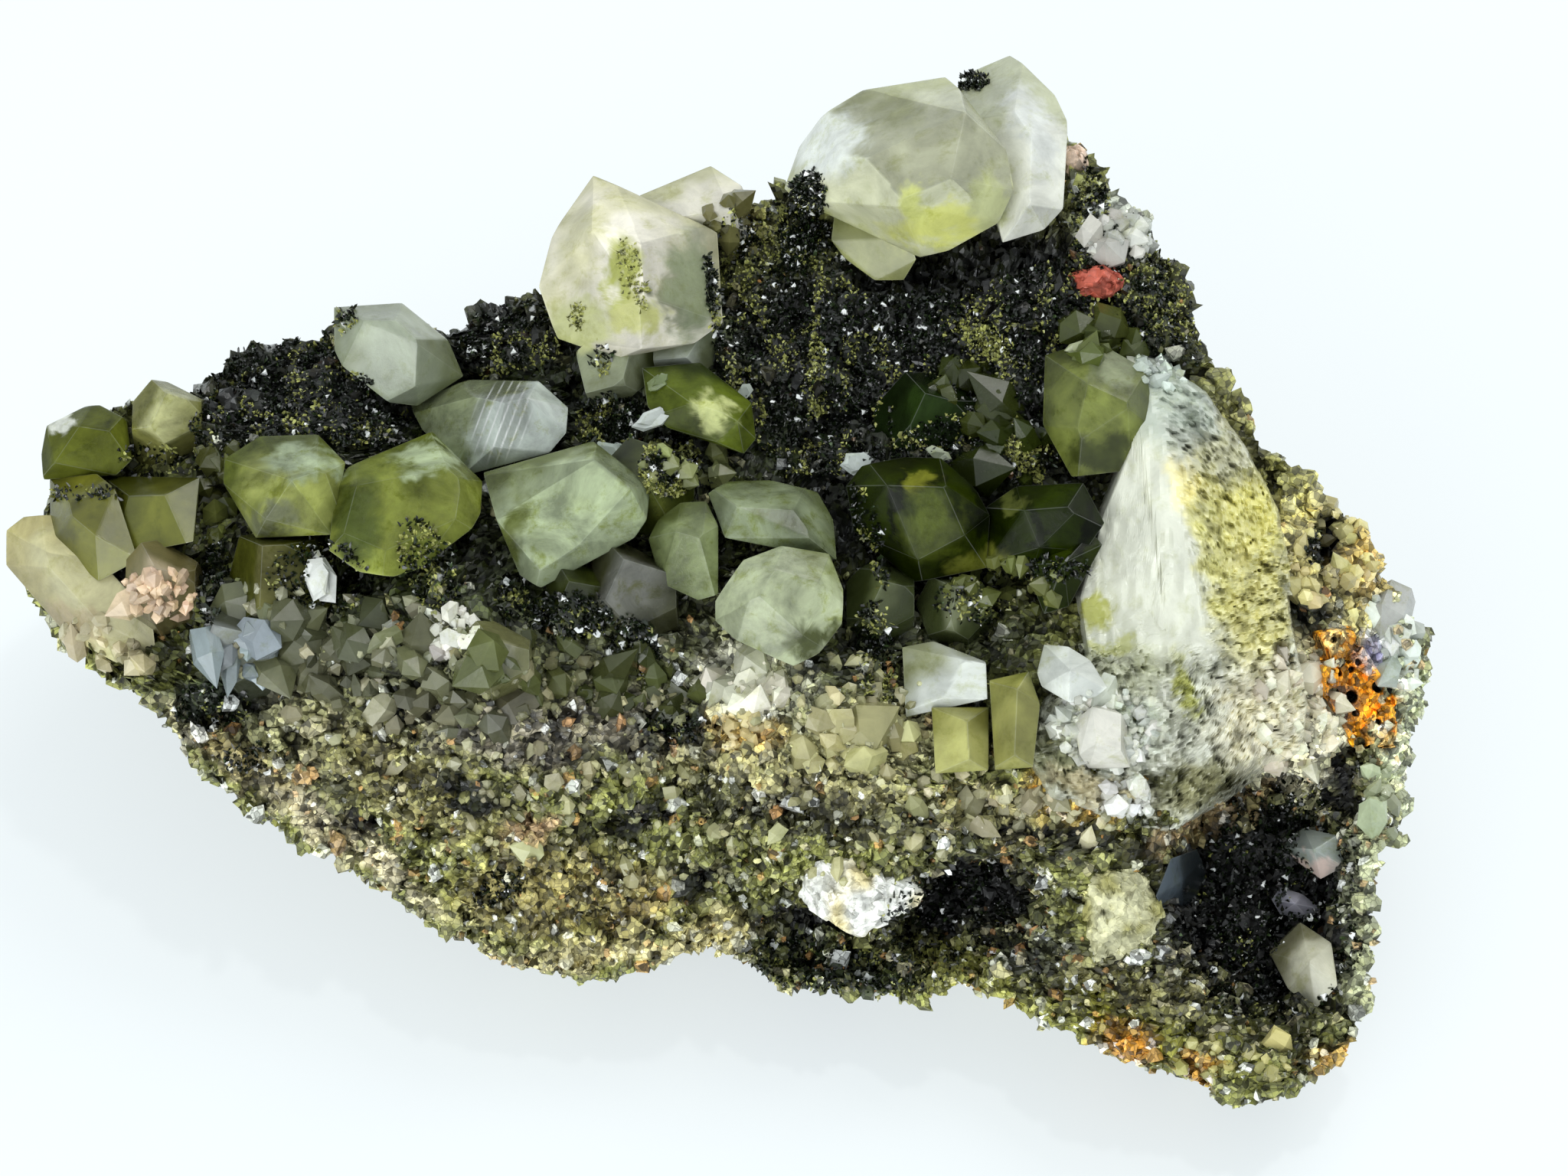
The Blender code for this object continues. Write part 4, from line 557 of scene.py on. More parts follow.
# The quartz crystals: clear to milky six-sided prisms with pyramid ends, grown together in groups and
# rooted in the rock. Each is the convex body inside the same planes as its solid, with flat faces and
# barely worn edges.
QUARTZ = {
    "quartz_summit": [
        [
            (0.0, 26.5, 4.5), (1.0, 29.4, 4.0), (2.5, 31.3, 4.6), (4.4, 32.6, 5.6), (6.5, 33.3, 5.8),
            (10.6, 33.9, 6.2), (11.6, 32.8, 8.4), (11.8, 30.9, 12.2), (5.4, 28.0, 11.2), (3.7, 28.2, 9.8),
            (7.5, 24.7, 11.2), (10.8, 26.5, 12.2), (14.5, 28.6, 10.0), (15.0, 25.9, 9.4),
            (14.0, 23.8, 8.2), (10.8, 22.1, 6.0), (8.9, 21.7, 5.4), (0.9, 25.6, 5.2),
        ],
        [
            (11.5, 33.2, 4.4), (12.3, 34.6, 4.0), (13.9, 35.2, 3.8), (15.2, 35.6, 3.6), (17.0, 33.8, 4.2),
            (18.3, 32.0, 4.4), (18.7, 30.9, 4.4), (18.5, 27.6, 4.6), (18.0, 24.5, 4.0), (17.0, 23.4, 4.0),
            (14.3, 22.6, 4.2), (15.6, 33.6, 6.4), (16.2, 29.6, 8.2), (12.6, 31.0, 7.4), (16.0, 25.0, 7.0),
        ],
        [
            (3.1, 23.0, 4.4), (3.4, 25.2, 5.6), (6.7, 24.9, 6.6), (7.9, 23.6, 6.4), (8.7, 21.6, 4.8),
            (7.9, 20.3, 2.6), (6.0, 20.3, 2.4), (4.0, 21.8, 3.2),
        ],
    ],
    "quartz_white_twins": [
        [
            (-16.2, 19.9, 4.6), (-15.4, 23.2, 5.0), (-14.0, 25.5, 5.2), (-12.7, 27.2, 5.0),
            (-9.7, 26.1, 5.4), (-6.5, 24.1, 6.0), (-4.4, 23.5, 5.0), (-4.0, 17.4, 4.8), (-5.9, 16.0, 4.6),
            (-9.3, 15.6, 6.2), (-11.0, 15.0, 4.4), (-14.9, 16.4, 3.8), (-9.3, 22.5, 9.0),
            (-9.4, 18.7, 8.8), (-12.6, 23.4, 8.2),
        ],
        [
            (-9.7, 26.1, 4.0), (-7.7, 26.7, 3.8), (-6.5, 27.4, 3.8), (-4.9, 28.2, 3.6), (-2.8, 26.8, 3.8),
            (-2.4, 25.6, 4.0), (-2.5, 23.2, 3.6), (-3.4, 22.5, 3.4), (-8.0, 24.4, 6.2), (-3.6, 25.0, 6.4),
        ],
    ],
    "quartz_pale_point": [
        [
            (-29.8, 18.6, 3.4), (-25.3, 18.9, 3.6), (-22.2, 16.4, 3.2), (-21.2, 14.0, 2.4),
            (-24.2, 12.0, 2.4), (-26.0, 12.2, 3.4), (-29.1, 14.6, 3.8), (-29.7, 15.7, 3.0),
            (-27.6, 17.6, 6.2), (-25.3, 17.4, 6.8), (-24.0, 16.0, 6.8), (-24.2, 13.2, 5.0),
        ]
    ],
    "quartz_left_block": [
        [
            (-36.4, 8.4, 3.6), (-34.2, 9.9, 3.4), (-30.3, 10.0, 3.6), (-28.3, 8.1, 4.6),
            (-28.7, 5.5, 5.0), (-29.0, 3.4, 4.0), (-34.0, 3.2, 3.6), (-35.0, 5.3, 3.8), (-36.4, 6.8, 3.4),
            (-31.5, 6.9, 7.6), (-29.4, 7.4, 6.6), (-33.2, 4.4, 5.8),
        ],
        ((-32.3, 0.3), (-33.5, 2.6), 4.0, 7.0, 25),
        [
            (-28.9, 6.6, 5.2), (-28.2, 7.8, 5.2), (-24.9, 9.3, 5.4), (-22.9, 10.2, 5.0),
            (-19.5, 6.9, 4.6), (-19.5, 4.8, 4.6), (-20.0, 3.8, 4.6), (-21.5, 2.8, 4.2), (-23.3, 1.2, 3.4),
            (-24.9, 0.7, 3.2), (-27.1, 1.0, 3.2), (-29.1, 2.4, 4.0), (-22.0, 8.4, 7.0), (-20.6, 6.6, 6.8),
            (-21.0, 4.4, 6.2), (-27.4, 6.6, 6.8), (-25.4, 2.4, 5.0),
        ],
    ],
    "quartz_veiled_block": [
        [
            (-19.4, 7.3, 4.0), (-16.0, 8.5, 4.0), (-12.4, 9.5, 4.2), (-10.7, 8.2, 4.6), (-8.6, 6.6, 4.6),
            (-8.8, 4.4, 4.2), (-9.6, 3.2, 4.0), (-13.1, 1.8, 3.6), (-15.6, 0.0, 3.0), (-17.0, 0.8, 3.0),
            (-18.5, 4.4, 5.0), (-12.2, 8.3, 7.0), (-9.8, 6.4, 6.8), (-13.0, 2.8, 5.2), (-15.7, 1.2, 4.4),
        ],
        ((-9.4, 5.4), (-7.8, 9.0), 4.4, 5.2, 0),
        ((-13.3, -0.8), (-13.6, 0.3), 3.5, 4.2, 0),
        ((-9.8, -0.8), (-10.0, 1.8), 4.5, 5.6, 0),
    ],
    "quartz_middle": [
        [
            (-8.7, 3.2, 4.4), (-8.1, 4.4, 4.6), (-6.7, 5.5, 4.6), (-5.0, 5.6, 4.4), (-4.2, 4.0, 5.0),
            (-4.2, -0.4, 3.6), (-5.5, -0.8, 3.2), (-7.9, 0.3, 3.2), (-8.4, 2.0, 3.8), (-6.9, 3.6, 6.4),
            (-5.2, 3.4, 6.4),
        ],
        [
            (-3.8, 0.1, 5.8), (-2.6, 1.8, 6.4), (-0.2, 2.7, 6.8), (2.9, 2.2, 6.0), (3.8, -0.1, 5.2),
            (3.7, -2.3, 4.8), (2.2, -4.2, 4.4), (1.0, -4.8, 4.0), (-0.5, -4.5, 4.2), (-3.1, -3.3, 4.4),
            (-4.4, -2.1, 4.2), (-4.4, -0.9, 4.6), (-0.6, 1.2, 8.2), (2.2, 0.4, 7.4), (-2.2, -0.8, 7.2),
            (1.2, -3.0, 6.2),
        ],
        [
            (-4.9, 6.1, 4.2), (-3.6, 6.9, 4.0), (-0.9, 7.0, 4.0), (2.2, 6.2, 4.0), (3.2, 4.4, 4.2),
            (3.4, 1.8, 4.2), (-3.8, 3.2, 4.8), (-3.0, 5.2, 6.2), (0.6, 5.0, 6.6), (1.6, 3.2, 6.4),
        ],
    ],
    "quartz_olive_pair": [
        [
            (4.0, 6.6, 3.6), (5.0, 7.9, 3.6), (7.8, 8.5, 3.6), (10.2, 8.4, 3.8), (12.4, 6.4, 4.2),
            (13.3, 4.7, 4.4), (13.1, 1.3, 3.4), (11.6, 1.0, 3.2), (8.5, 0.4, 3.0), (7.4, 1.2, 3.0),
            (4.5, 3.6, 3.4), (6.6, 6.6, 6.2), (10.4, 6.6, 6.6), (11.6, 3.4, 6.0), (8.6, 1.8, 5.0),
        ],
        [
            (13.0, 5.2, 4.0), (15.0, 6.6, 3.8), (19.3, 6.8, 3.6), (20.6, 4.2, 3.8), (19.4, 2.4, 3.6),
            (16.0, 1.2, 3.4), (13.0, 1.6, 3.4), (15.4, 5.0, 5.8), (18.6, 4.8, 5.4), (16.4, 2.6, 5.0),
        ],
        [
            (16.0, 1.6, 3.6), (19.8, 3.6, 3.8), (20.5, 2.8, 3.6), (19.4, 1.2, 3.2), (18.3, -1.2, 2.6),
            (16.7, -1.7, 2.6), (16.0, 0.1, 3.0), (17.9, 1.6, 5.0),
        ],
    ],
    "quartz_striated": [
        [
            (-24.7, 11.9, 2.4), (-23.2, 12.9, 2.6), (-20.8, 13.8, 2.8), (-16.1, 13.6, 3.2),
            (-14.1, 11.8, 2.6), (-14.2, 10.1, 2.4), (-15.3, 8.8, 2.2), (-19.4, 8.3, 3.0),
            (-20.3, 7.5, 2.6), (-23.9, 10.4, 2.6), (-21.0, 12.4, 4.6), (-16.8, 12.4, 5.2),
            (-18.9, 9.2, 4.4),
        ]
    ],
    "quartz_twin_foot": [
        ((-10.2, 15.1), (-13.1, 12.8), 3.5, 4.9, 0),
        ((-5.6, 15.5), (-8.6, 15.0), 3.0, 4.2, 0),
    ],
    "quartz_olive_ridge": [
        [
            (-9.3, 14.4, 2.2), (-5.5, 14.8, 2.4), (-2.1, 12.1, 3.4), (-1.8, 9.7, 3.6), (-2.6, 8.7, 3.2),
            (-4.0, 9.3, 3.4), (-7.6, 10.4, 2.4), (-8.9, 11.8, 2.2), (-6.0, 12.0, 4.2), (-3.0, 10.8, 5.0),
        ]
    ],
    "quartz_smoky_corner": [
        [
            (-48.6, 10.7, 3.6), (-46.2, 12.0, 3.0), (-45.2, 12.1, 3.0), (-43.3, 11.1, 3.2),
            (-42.8, 8.4, 3.4), (-43.8, 7.4, 3.2), (-48.6, 7.1, 3.2), (-48.9, 8.8, 3.2),
            (-46.2, 10.6, 5.2), (-44.2, 10.3, 5.0), (-47.8, 8.2, 4.6),
        ],
        ((-40.7, 10.3), (-40.4, 12.8), 4.6, 4.6, 0),
    ],
    "quartz_rosy_grain": [((-40.2, -0.2), (-40.4, 1.2), 5.0, 5.2, 0)],
    "quartz_left_tip": [
        [
            (-51.2, 3.8, 2.0), (-50.0, 4.7, 2.2), (-48.5, 4.8, 2.8), (-44.5, 1.8, 4.0),
            (-41.0, -1.8, 3.4), (-40.8, -4.0, 2.4), (-43.5, -4.9, 1.8), (-46.8, -3.2, 1.8),
            (-49.2, -0.2, 1.8), (-51.2, 1.5, 1.6), (-48.2, 2.4, 4.2), (-44.4, -2.2, 4.6),
        ],
        [
            (-48.3, 7.2, 3.4), (-45.0, 7.5, 3.8), (-43.6, 6.5, 4.6), (-43.2, 3.6, 5.0), (-41.8, 1.8, 4.4),
            (-44.5, 0.4, 4.0), (-48.0, 3.0, 3.4), (-46.6, 5.6, 5.4), (-44.6, 3.4, 6.0),
        ],
        [
            (-45.0, 7.4, 3.4), (-40.5, 7.2, 3.2), (-38.0, 7.2, 3.0), (-38.1, 3.0, 3.2), (-41.8, 2.3, 3.8),
            (-43.8, 3.7, 4.0), (-42.6, 6.0, 5.6), (-39.8, 5.4, 5.0),
        ],
    ],
    "quartz_olive_small": [((9.3, 10.6), (9.0, 12.6), 4.5, 6.4, 0)],
    "quartz_window": [
        [
            (17.0, 15.2, 3.0), (20.2, 16.2, 2.8), (23.6, 14.2, 3.2), (24.0, 10.4, 3.4), (22.4, 7.6, 3.2),
            (18.6, 7.2, 3.2), (16.8, 10.6, 3.0), (19.6, 13.2, 5.6), (22.2, 11.6, 5.6), (19.2, 9.6, 5.0),
        ]
    ],
    "quartz_bright_point": [
        [
            (16.6, -3.6, 4.2), (18.1, -3.7, 4.8), (19.5, -4.6, 4.6), (20.5, -6.3, 3.8), (19.8, -6.9, 3.4),
            (18.1, -7.3, 3.2), (16.4, -6.3, 3.2), (16.1, -5.4, 3.6), (18.1, -5.2, 5.8),
        ]
    ],
    "quartz_bright_block": [
        [
            (7.6, -3.8, 2.4), (9.6, -3.4, 2.8), (12.9, -4.7, 4.0), (13.0, -7.1, 3.6), (10.1, -7.0, 3.4),
            (8.2, -8.2, 2.0), (7.7, -6.0, 2.2), (11.6, -4.6, 4.2),
        ]
    ],
    "quartz_lower_prisms": [
        [
            (9.4, -7.6, 3.0), (13.1, -7.6, 3.2), (13.0, -11.6, 2.0), (9.6, -11.8, 1.6), (11.8, -8.4, 4.2),
            (11.4, -11.0, 3.2),
        ],
        [
            (13.4, -5.8, 3.4), (15.6, -5.3, 3.4), (16.3, -7.4, 3.0), (15.8, -11.4, 1.8),
            (13.4, -11.6, 1.8), (13.2, -8.0, 3.0), (14.8, -6.4, 4.6), (14.6, -10.6, 3.2),
        ],
    ],
    "quartz_pocket": [
        ((6.4, -1.2), (6.3, 0.4), 3.8, 4.8, 0),
        ((11.2, -1.8), (11.0, -0.2), 3.5, 4.6, 20),
    ],
    "quartz_round_grain": [((-18.4, -4.9), (-18.4, -3.3), 3.5, 4.4, 0)],
    "quartz_grey_grain": [((-35.4, -3.9), (-36.4, -2.3), 3.2, 5.2, 0)],
    "vug_quartz_upper": [
        [
            (32.2, -16.9, 1.6), (33.8, -15.6, 2.4), (35.8, -16.0, 2.6), (36.2, -18.0, 2.2),
            (34.8, -18.9, 1.8), (34.2, -16.9, 4.2),
        ]
    ],
    "vug_quartz_middle": [
        [
            (31.6, -20.2, 1.8), (32.2, -19.4, 2.2), (33.6, -19.8, 2.6), (34.8, -20.8, 2.4),
            (34.2, -21.6, 1.8), (32.2, -21.2, 1.6), (33.0, -20.4, 3.6),
        ]
    ],
    "vug_quartz_lower": [
        [
            (31.4, -23.6, 2.2), (33.4, -21.6, 2.6), (35.2, -22.8, 2.8), (35.4, -25.4, 2.8),
            (34.0, -27.0, 2.0), (32.4, -25.8, 2.2), (33.6, -24.0, 4.6),
        ]
    ],
    "vug_quartz_grey": [
        [
            (23.6, -19.6, 2.0), (24.6, -17.2, 2.4), (26.6, -16.8, 2.2), (27.4, -18.6, 1.8),
            (26.6, -20.6, 1.6), (24.4, -20.8, 1.8), (25.4, -18.8, 3.4),
        ]
    ],
}  # fmt: skip
QUARTZ_TONES = {  # each crystal's colour, and the darker one that it goes over to low down
    "quartz_summit": [
        ((195, 196, 165), (163, 166, 115)), ((220, 220, 208), (191, 194, 163)),
        ((166, 169, 112), (128, 133, 78)),
    ],
    "quartz_white_twins": [
        ((228, 222, 206), (198, 194, 158)), ((224, 219, 203), (188, 186, 150)),
    ],
    "quartz_pale_point": [((164, 172, 150), (130, 138, 102))],
    "quartz_left_block": [
        ((136, 142, 76), (78, 86, 26)), ((104, 102, 60), (70, 72, 22)),
        ((120, 128, 56), (74, 82, 20)),
    ],
    "quartz_veiled_block": [
        ((179, 192, 152), (106, 116, 55)), ((106, 114, 50), (61, 68, 22)),
        ((77, 86, 30), (51, 58, 17)), ((122, 122, 114), (71, 72, 48)),
    ],
    "quartz_middle": [
        ((141, 153, 104), (81, 91, 38)), ((192, 201, 162), (126, 135, 70)),
        ((156, 168, 132), (90, 100, 48)),
    ],
    "quartz_olive_pair": [
        ((32, 42, 1), (15, 21, 1)), ((28, 38, 1), (14, 20, 1)),
        ((36, 46, 4), (20, 28, 2)),
    ],
    "quartz_striated": [((240, 250, 240), (158, 168, 128))],
    "quartz_twin_foot": [
        ((140, 146, 116), (80, 86, 50)), ((160, 166, 156), (96, 102, 74)),
    ],
    "quartz_olive_ridge": [((88, 100, 30), (34, 44, 6))],
    "quartz_smoky_corner": [
        ((88, 94, 30), (46, 52, 10)), ((176, 176, 126), (120, 120, 66)),
    ],
    "quartz_rosy_grain": [((166, 150, 118), (104, 96, 60))],
    "quartz_left_tip": [
        ((206, 200, 154), (174, 164, 110)), ((117, 117, 37), (78, 78, 21)),
        ((100, 102, 32), (63, 66, 17)),
    ],
    "quartz_olive_small": [((34, 50, 16), (18, 28, 8))],
    "quartz_window": [((124, 133, 63), (67, 74, 26))],
    "quartz_bright_point": [((224, 228, 220), (190, 194, 176))],
    "quartz_bright_block": [((204, 208, 200), (144, 148, 110))],
    "quartz_lower_prisms": [
        ((174, 173, 104), (127, 126, 62)), ((154, 153, 84), (106, 109, 48)),
    ],
    "quartz_pocket": [((112, 120, 80), (60, 68, 36)), ((130, 136, 104), (70, 78, 44))],
    "quartz_round_grain": [((150, 148, 124), (104, 104, 68))],
    "quartz_grey_grain": [((128, 132, 128), (80, 84, 68))],
    "vug_quartz_upper": [((150, 158, 152), (80, 88, 80))],
    "vug_quartz_middle": [((140, 138, 150), (76, 78, 82))],
    "vug_quartz_lower": [((206, 204, 180), (120, 118, 92))],
    "vug_quartz_grey": [((84, 94, 104), (34, 40, 44))],
}
QUARTZ_STAINS_AND_HIGHLIGHTS = [  # (u, v, half width, half height, turn, colour)
    # The first patch below, white on the upper left face of the summit, is a painted reflection of the
    # bright room on that face.
    (2.7, 29.2, 2.4, 2.2, 40, (226, 230, 222)), (10.2, 23.8, 3.2, 1.2, 10, (212, 214, 126)),
    (8.4, 25.2, 0.8, 1.4, 0, (206, 210, 128)), (13.4, 25.2, 1.0, 1.6, 0, (190, 194, 140)),
    (16.4, 30.0, 1.2, 3.0, 20, (220, 222, 216)), (9.8, 4.6, 0.45, 3.4, 4, (14, 20, 4)),
    (12.6, 5.4, 0.5, 2.6, 14, (16, 22, 5)), (7.2, 4.8, 0.4, 2.6, 0, (16, 22, 5)),
    (16.2, 3.4, 0.5, 2.2, 10, (14, 20, 4)), (19.4, 4.0, 0.5, 2.0, -8, (16, 22, 5)),
    (8.6, 6.6, 0.9, 0.8, 0, (106, 108, 34)), (12.4, 1.2, 1.6, 0.8, 0, (92, 96, 34)),
    (15.0, 5.6, 0.9, 0.5, 20, (84, 90, 40)), (-10.6, 20.3, 1.0, 3.0, 10, (178, 182, 96)),
    (-9.6, 17.6, 1.4, 1.2, 0, (190, 190, 120)), (-7.4, 19.0, 0.9, 1.6, 0, (130, 132, 104)),
    (-13.4, 17.4, 2.2, 1.6, 0, (190, 192, 136)), (-6.0, 19.6, 1.5, 3.6, 0, (132, 140, 108)),
    (2.0, -3.2, 1.5, 1.1, 0, (84, 92, 40)), (-47.6, 10.9, 0.9, 0.8, 0, (224, 226, 214)),
    (-33.0, 4.6, 1.8, 1.0, 0, (110, 114, 84)), (-17.6, 3.0, 1.0, 2.4, -20, (110, 120, 60)),
    (9.6, 4.0, 1.8, 1.8, 0, (74, 84, 22)), (-22.6, 8.4, 2.0, 1.0, 10, (160, 172, 136)),
    (-46.5, -2.4, 2.2, 1.0, -20, (170, 156, 120)), (34.0, -18.2, 1.4, 0.7, 0, (206, 186, 176)),
    (-27.2, 4.0, 1.6, 2.6, 0, (74, 84, 36)), (-31.0, 8.2, 2.0, 1.2, 0, (150, 162, 130)),
    (20.6, 8.6, 2.0, 1.2, 0, (72, 80, 30)), (21.4, 14.2, 1.4, 1.0, 0, (150, 158, 116)),
    (-4.6, 11.4, 0.9, 1.3, 30, (196, 202, 136)),
]
STRIPE_PITCH, STRIPE_LEAN = 0.56, -0.38
STRIPES_FROM_V, STRIPED_PLACE = 10.5, (-18.5, 11.0, 1.9, 3.0, -20)
STRIPE_WHITE = linear(250, 252, 250)
PRISM_ANGLE = math.radians(38.2)
PRISM_SPREAD, LARGE_FACE_LAG, SMALL_FACE_LAG = (0.86, 1.08), (-0.02, 0.05), (0.10, 0.26)
ROOT_DEPTH, ROOT_SHARE, ROOT_TAPER = 1.6, 0.08, 0.86
SAME_FACE = math.cos(math.radians(15))
EDGE_SOFTNESS = 0.03
LOWER_END, UPPER_START = 0.28, 0.85  # of the change from the low colour to the high one
DARKEST_FACE, FACE_CHANGE = 0.70, 0.56
FACET_STEP, STRIPED_STEP = 0.3, 0.115
CREASE = math.radians(14)


def rock_slope(u, v, half):
    """The rock's mean height, and its slopes along u and v, over four places half away from (u, v)."""
    right, left = float(lie(u + half, v)), float(lie(u - half, v))
    above, below = float(lie(u, v + half)), float(lie(u, v - half))
    return (right + left + above + below) / 4, (right - left) / (2 * half), (above - below) / (2 * half)


def hull_planes(corners):
    """The planes through three corners with all of the others behind them, largest first. Planes that look
    almost the same way are one."""
    a, b, c = (corners[list(trio)] for trio in zip(*itertools.combinations(range(len(corners)), 3)))
    across = np.cross(b - a, c - a)
    size = np.linalg.norm(across, axis=1)
    across, a = across[size > 1e-6], a[size > 1e-6]
    past = corners @ unit(across).T - (a * unit(across)).sum(axis=1)
    front, back = (past < 1e-6).all(axis=0), (past > -1e-6).all(axis=0)
    outward = np.concatenate([across[front], -across[back]])
    kept = []
    for normal in unit(outward[np.argsort(-np.linalg.norm(outward, axis=1))]):
        if all(normal @ other < SAME_FACE for other in kept):
            kept.append(normal)
    return np.array(kept), np.array([(corners @ normal).max() for normal in kept])


def cornered_planes(corners):
    """The planes of a crystal given by its (u, v, height over the rock) corners, and its middle. A narrower
    copy of the corners, sunk in the rock, is its root."""
    corners = np.array(corners)
    middle = corners[:, :2].mean(axis=0)
    half = float(np.ptp(corners[:, 0]) + np.ptp(corners[:, 1])) / 4
    height, *slopes = rock_slope(*middle, half)
    off = corners[:, :2] - middle
    upper = np.column_stack([corners[:, :2], height + off @ slopes + corners[:, 2]])
    sunk = height + ROOT_TAPER * off @ slopes - (ROOT_DEPTH + ROOT_SHARE * 2 * half)
    lower = np.column_stack([middle + ROOT_TAPER * off, sunk])
    return *hull_planes(np.concatenate([upper, lower])), np.array([*middle, height])


def prism_planes(spec, seed):
    """Six prism planes, six pyramid planes of which every other one is larger, and a base in the rock."""
    root_uv, tip_uv, rise, width, turn = spec
    height, slope_u, slope_v = rock_slope(*root_uv, width / 2)
    out = unit((-slope_u, -slope_v, 1))
    root, tip = np.array([*root_uv, height]), np.array([*tip_uv, height + rise])
    axis = unit(tip - root)
    first = unit(np.cross(axis, (0, 1, 0)))
    second = np.cross(axis, first)
    random = np.random.default_rng(seed)
    normals, through = [-out], [root - out * (ROOT_DEPTH + ROOT_SHARE * width)]
    for k in range(6):
        angle = math.radians(turn + 60 * k)
        radial = math.cos(angle) * first + math.sin(angle) * second
        through.append(root + radial * width / 2 * random.uniform(*PRISM_SPREAD))
        pyramid = math.cos(PRISM_ANGLE) * radial + math.sin(PRISM_ANGLE) * axis
        lag = random.uniform(*(SMALL_FACE_LAG if k % 2 else LARGE_FACE_LAG))
        through.append(tip + pyramid * lag * width)
        normals += [radial, pyramid]
    normals = np.array(normals)
    return normals, (np.array(through) * normals).sum(axis=1), (root + tip) / 2


def facet_corners(normals, reaches, k, centre):
    """The corners of one face of the body: a large square in its plane, cut down by the other planes."""
    normal = normals[k]
    side = unit(np.cross(normal, (0.3, 0.5, 0.81)))
    up = np.cross(normal, side)
    middle = centre + (reaches[k] - centre @ normal) * normal
    corners = [middle + 50 * (a * side + b * up) for a, b in ((-1, -1), (1, -1), (1, 1), (-1, 1))]
    for other in range(len(normals)):
        if other == k or not corners:
            continue
        past = [corner @ normals[other] - reaches[other] for corner in corners]
        kept = []
        for n in range(len(corners)):
            here, there = past[n - 1], past[n]
            if (here <= 0) != (there <= 0):
                kept.append(corners[n - 1] + (corners[n] - corners[n - 1]) * here / (here - there))
            if there <= 0:
                kept.append(corners[n])
        corners = kept
    return corners


def faceted_body(normals, reaches, centre, step):
    """Every face as a fan of grids from its middle to its corners, welded along shared edges."""
    points, faces, count = [], [], 0
    for k in range(len(normals)):
        corners = facet_corners(normals, reaches, k, centre)
        if len(corners) < 3:
            continue
        middle = np.mean(corners, axis=0)
        depth = max(np.linalg.norm(corner - middle) for corner in corners)
        rings = max(2, math.ceil(depth / step))
        for a, b in zip(corners, corners[1:] + corners[:1]):
            parts = max(1, math.ceil(round(np.linalg.norm(b - a), 4) / step))
            r, s = np.meshgrid(np.linspace(0, 1, rings + 1), np.linspace(0, 1, parts + 1), indexing="ij")
            edge = a + s[..., None] * (b - a)
            points.append((middle + r[..., None] * (edge - middle)).reshape(-1, 3))
            faces.append(squares(np.arange(r.size).reshape(r.shape)) + count)
            count += r.size
    points, faces = np.concatenate(points), np.concatenate(faces)
    _, first, index = np.unique(np.round(points, 3), axis=0, return_index=True, return_inverse=True)
    faces = index.reshape(-1)[faces]
    whole = (faces[:, 0] != faces[:, 1]) & (faces[:, 1] != faces[:, 2]) & (faces[:, 0] != faces[:, 2])
    return points[first], faces[whole]


def softened(points, normals, reaches, softness):
    """Points drawn in to where the blended distance to all planes is zero, which rounds every edge."""
    for _ in range(3):
        past = (points @ normals.T - reaches) / softness
        top = past.max(axis=1, keepdims=True)
        weights = np.exp(past - top)
        total = weights.sum(axis=1, keepdims=True)
        blended = softness * (top + np.log(total))
        points = points - blended * (weights / total) @ normals
    return points


def rim_distance(points, normals, reaches):
    """How far each point is from the nearest edge of its face, within the face, and the face's number."""
    past = points @ normals.T - reaches
    own = past.argmax(axis=1)
    turn = np.sqrt(np.clip(1 - (normals[own] @ normals.T) ** 2, 0, 1))
    away = np.where(turn > 0.05, -past / np.maximum(turn, 0.05), 99.0)
    away[np.arange(len(own)), own] = 99.0
    return np.clip(away.min(axis=1), 0, 1), own


def crystal_body(spec, tones, seed, step):
    """One crystal: its points, triangles, colours, and how far from its edges each point is. Each face is a
    little lighter or darker than the next, and the colour goes over to a darker one towards the foot."""
    normals, reaches, centre = cornered_planes(spec) if isinstance(spec, list) else prism_planes(spec, seed)
    points, faces = faceted_body(normals, reaches, centre, step)
    points = softened(points, normals, reaches, EDGE_SOFTNESS)
    rim, own = rim_distance(points, normals, reaches)
    height = (points[:, 2] - centre[2]) / (points[:, 2].max() - centre[2])
    level = height + 0.30 * clouds(points, 2.6, seed + 2) + 0.15 * clouds(points, 0.9, seed + 4)
    share = smooth_step(LOWER_END, UPPER_START, level)
    upper, lower = (linear(*tone) for tone in tones)
    colour = lower + share[:, None] * (upper - lower)
    facet = DARKEST_FACE + FACE_CHANGE * np.random.default_rng(seed).random(len(normals))[own]
    return points, faces, colour * (facet * (1 + 0.10 * clouds(points, 1.1, seed + 3)))[:, None], rim


# Veils in quartz: milky fog, olive mottling where epidote dust grew in, pale edges that are in part milky
# quartz and in part a painted highlight, faint pits.
quartz_effect, given, result, add = new_group(
    "veils in quartz",
    [("Tone", COLOUR), ("Rim", FLOAT), ("Cloud", FLOAT)],
    [("Colour", COLOUR), ("Roughness", FLOAT), ("Normal", VECTOR)],
)
where = add("ShaderNodeTexCoord").outputs["Object"]
veil = add("ShaderNodeTexNoise", Vector=where, Scale=260.0, Detail=8.0, Roughness=0.66, Distortion=0.5)
fog = add("ShaderNodeMapRange", _0=veil.outputs[0], From_Min=0.32, From_Max=0.68, To_Min=0.44, To_Max=1.36)
thinned = add("ShaderNodeMix", _0=given["Cloud"], _2=1.0, _3=fog.outputs[0])
veiled = add("ShaderNodeVectorMath", {"operation": "SCALE"}, _0=given["Tone"], Scale=thinned.outputs[0])
dust = add("ShaderNodeTexNoise", Vector=where, Scale=620.0, Detail=9.0, Roughness=0.74, Distortion=0.3)
speckled = add("ShaderNodeMapRange", _0=dust.outputs[0], From_Min=0.52, From_Max=0.66)
dusted = add("ShaderNodeMath", {"operation": "MULTIPLY"}, _0=speckled.outputs[0], _1=given["Cloud"])
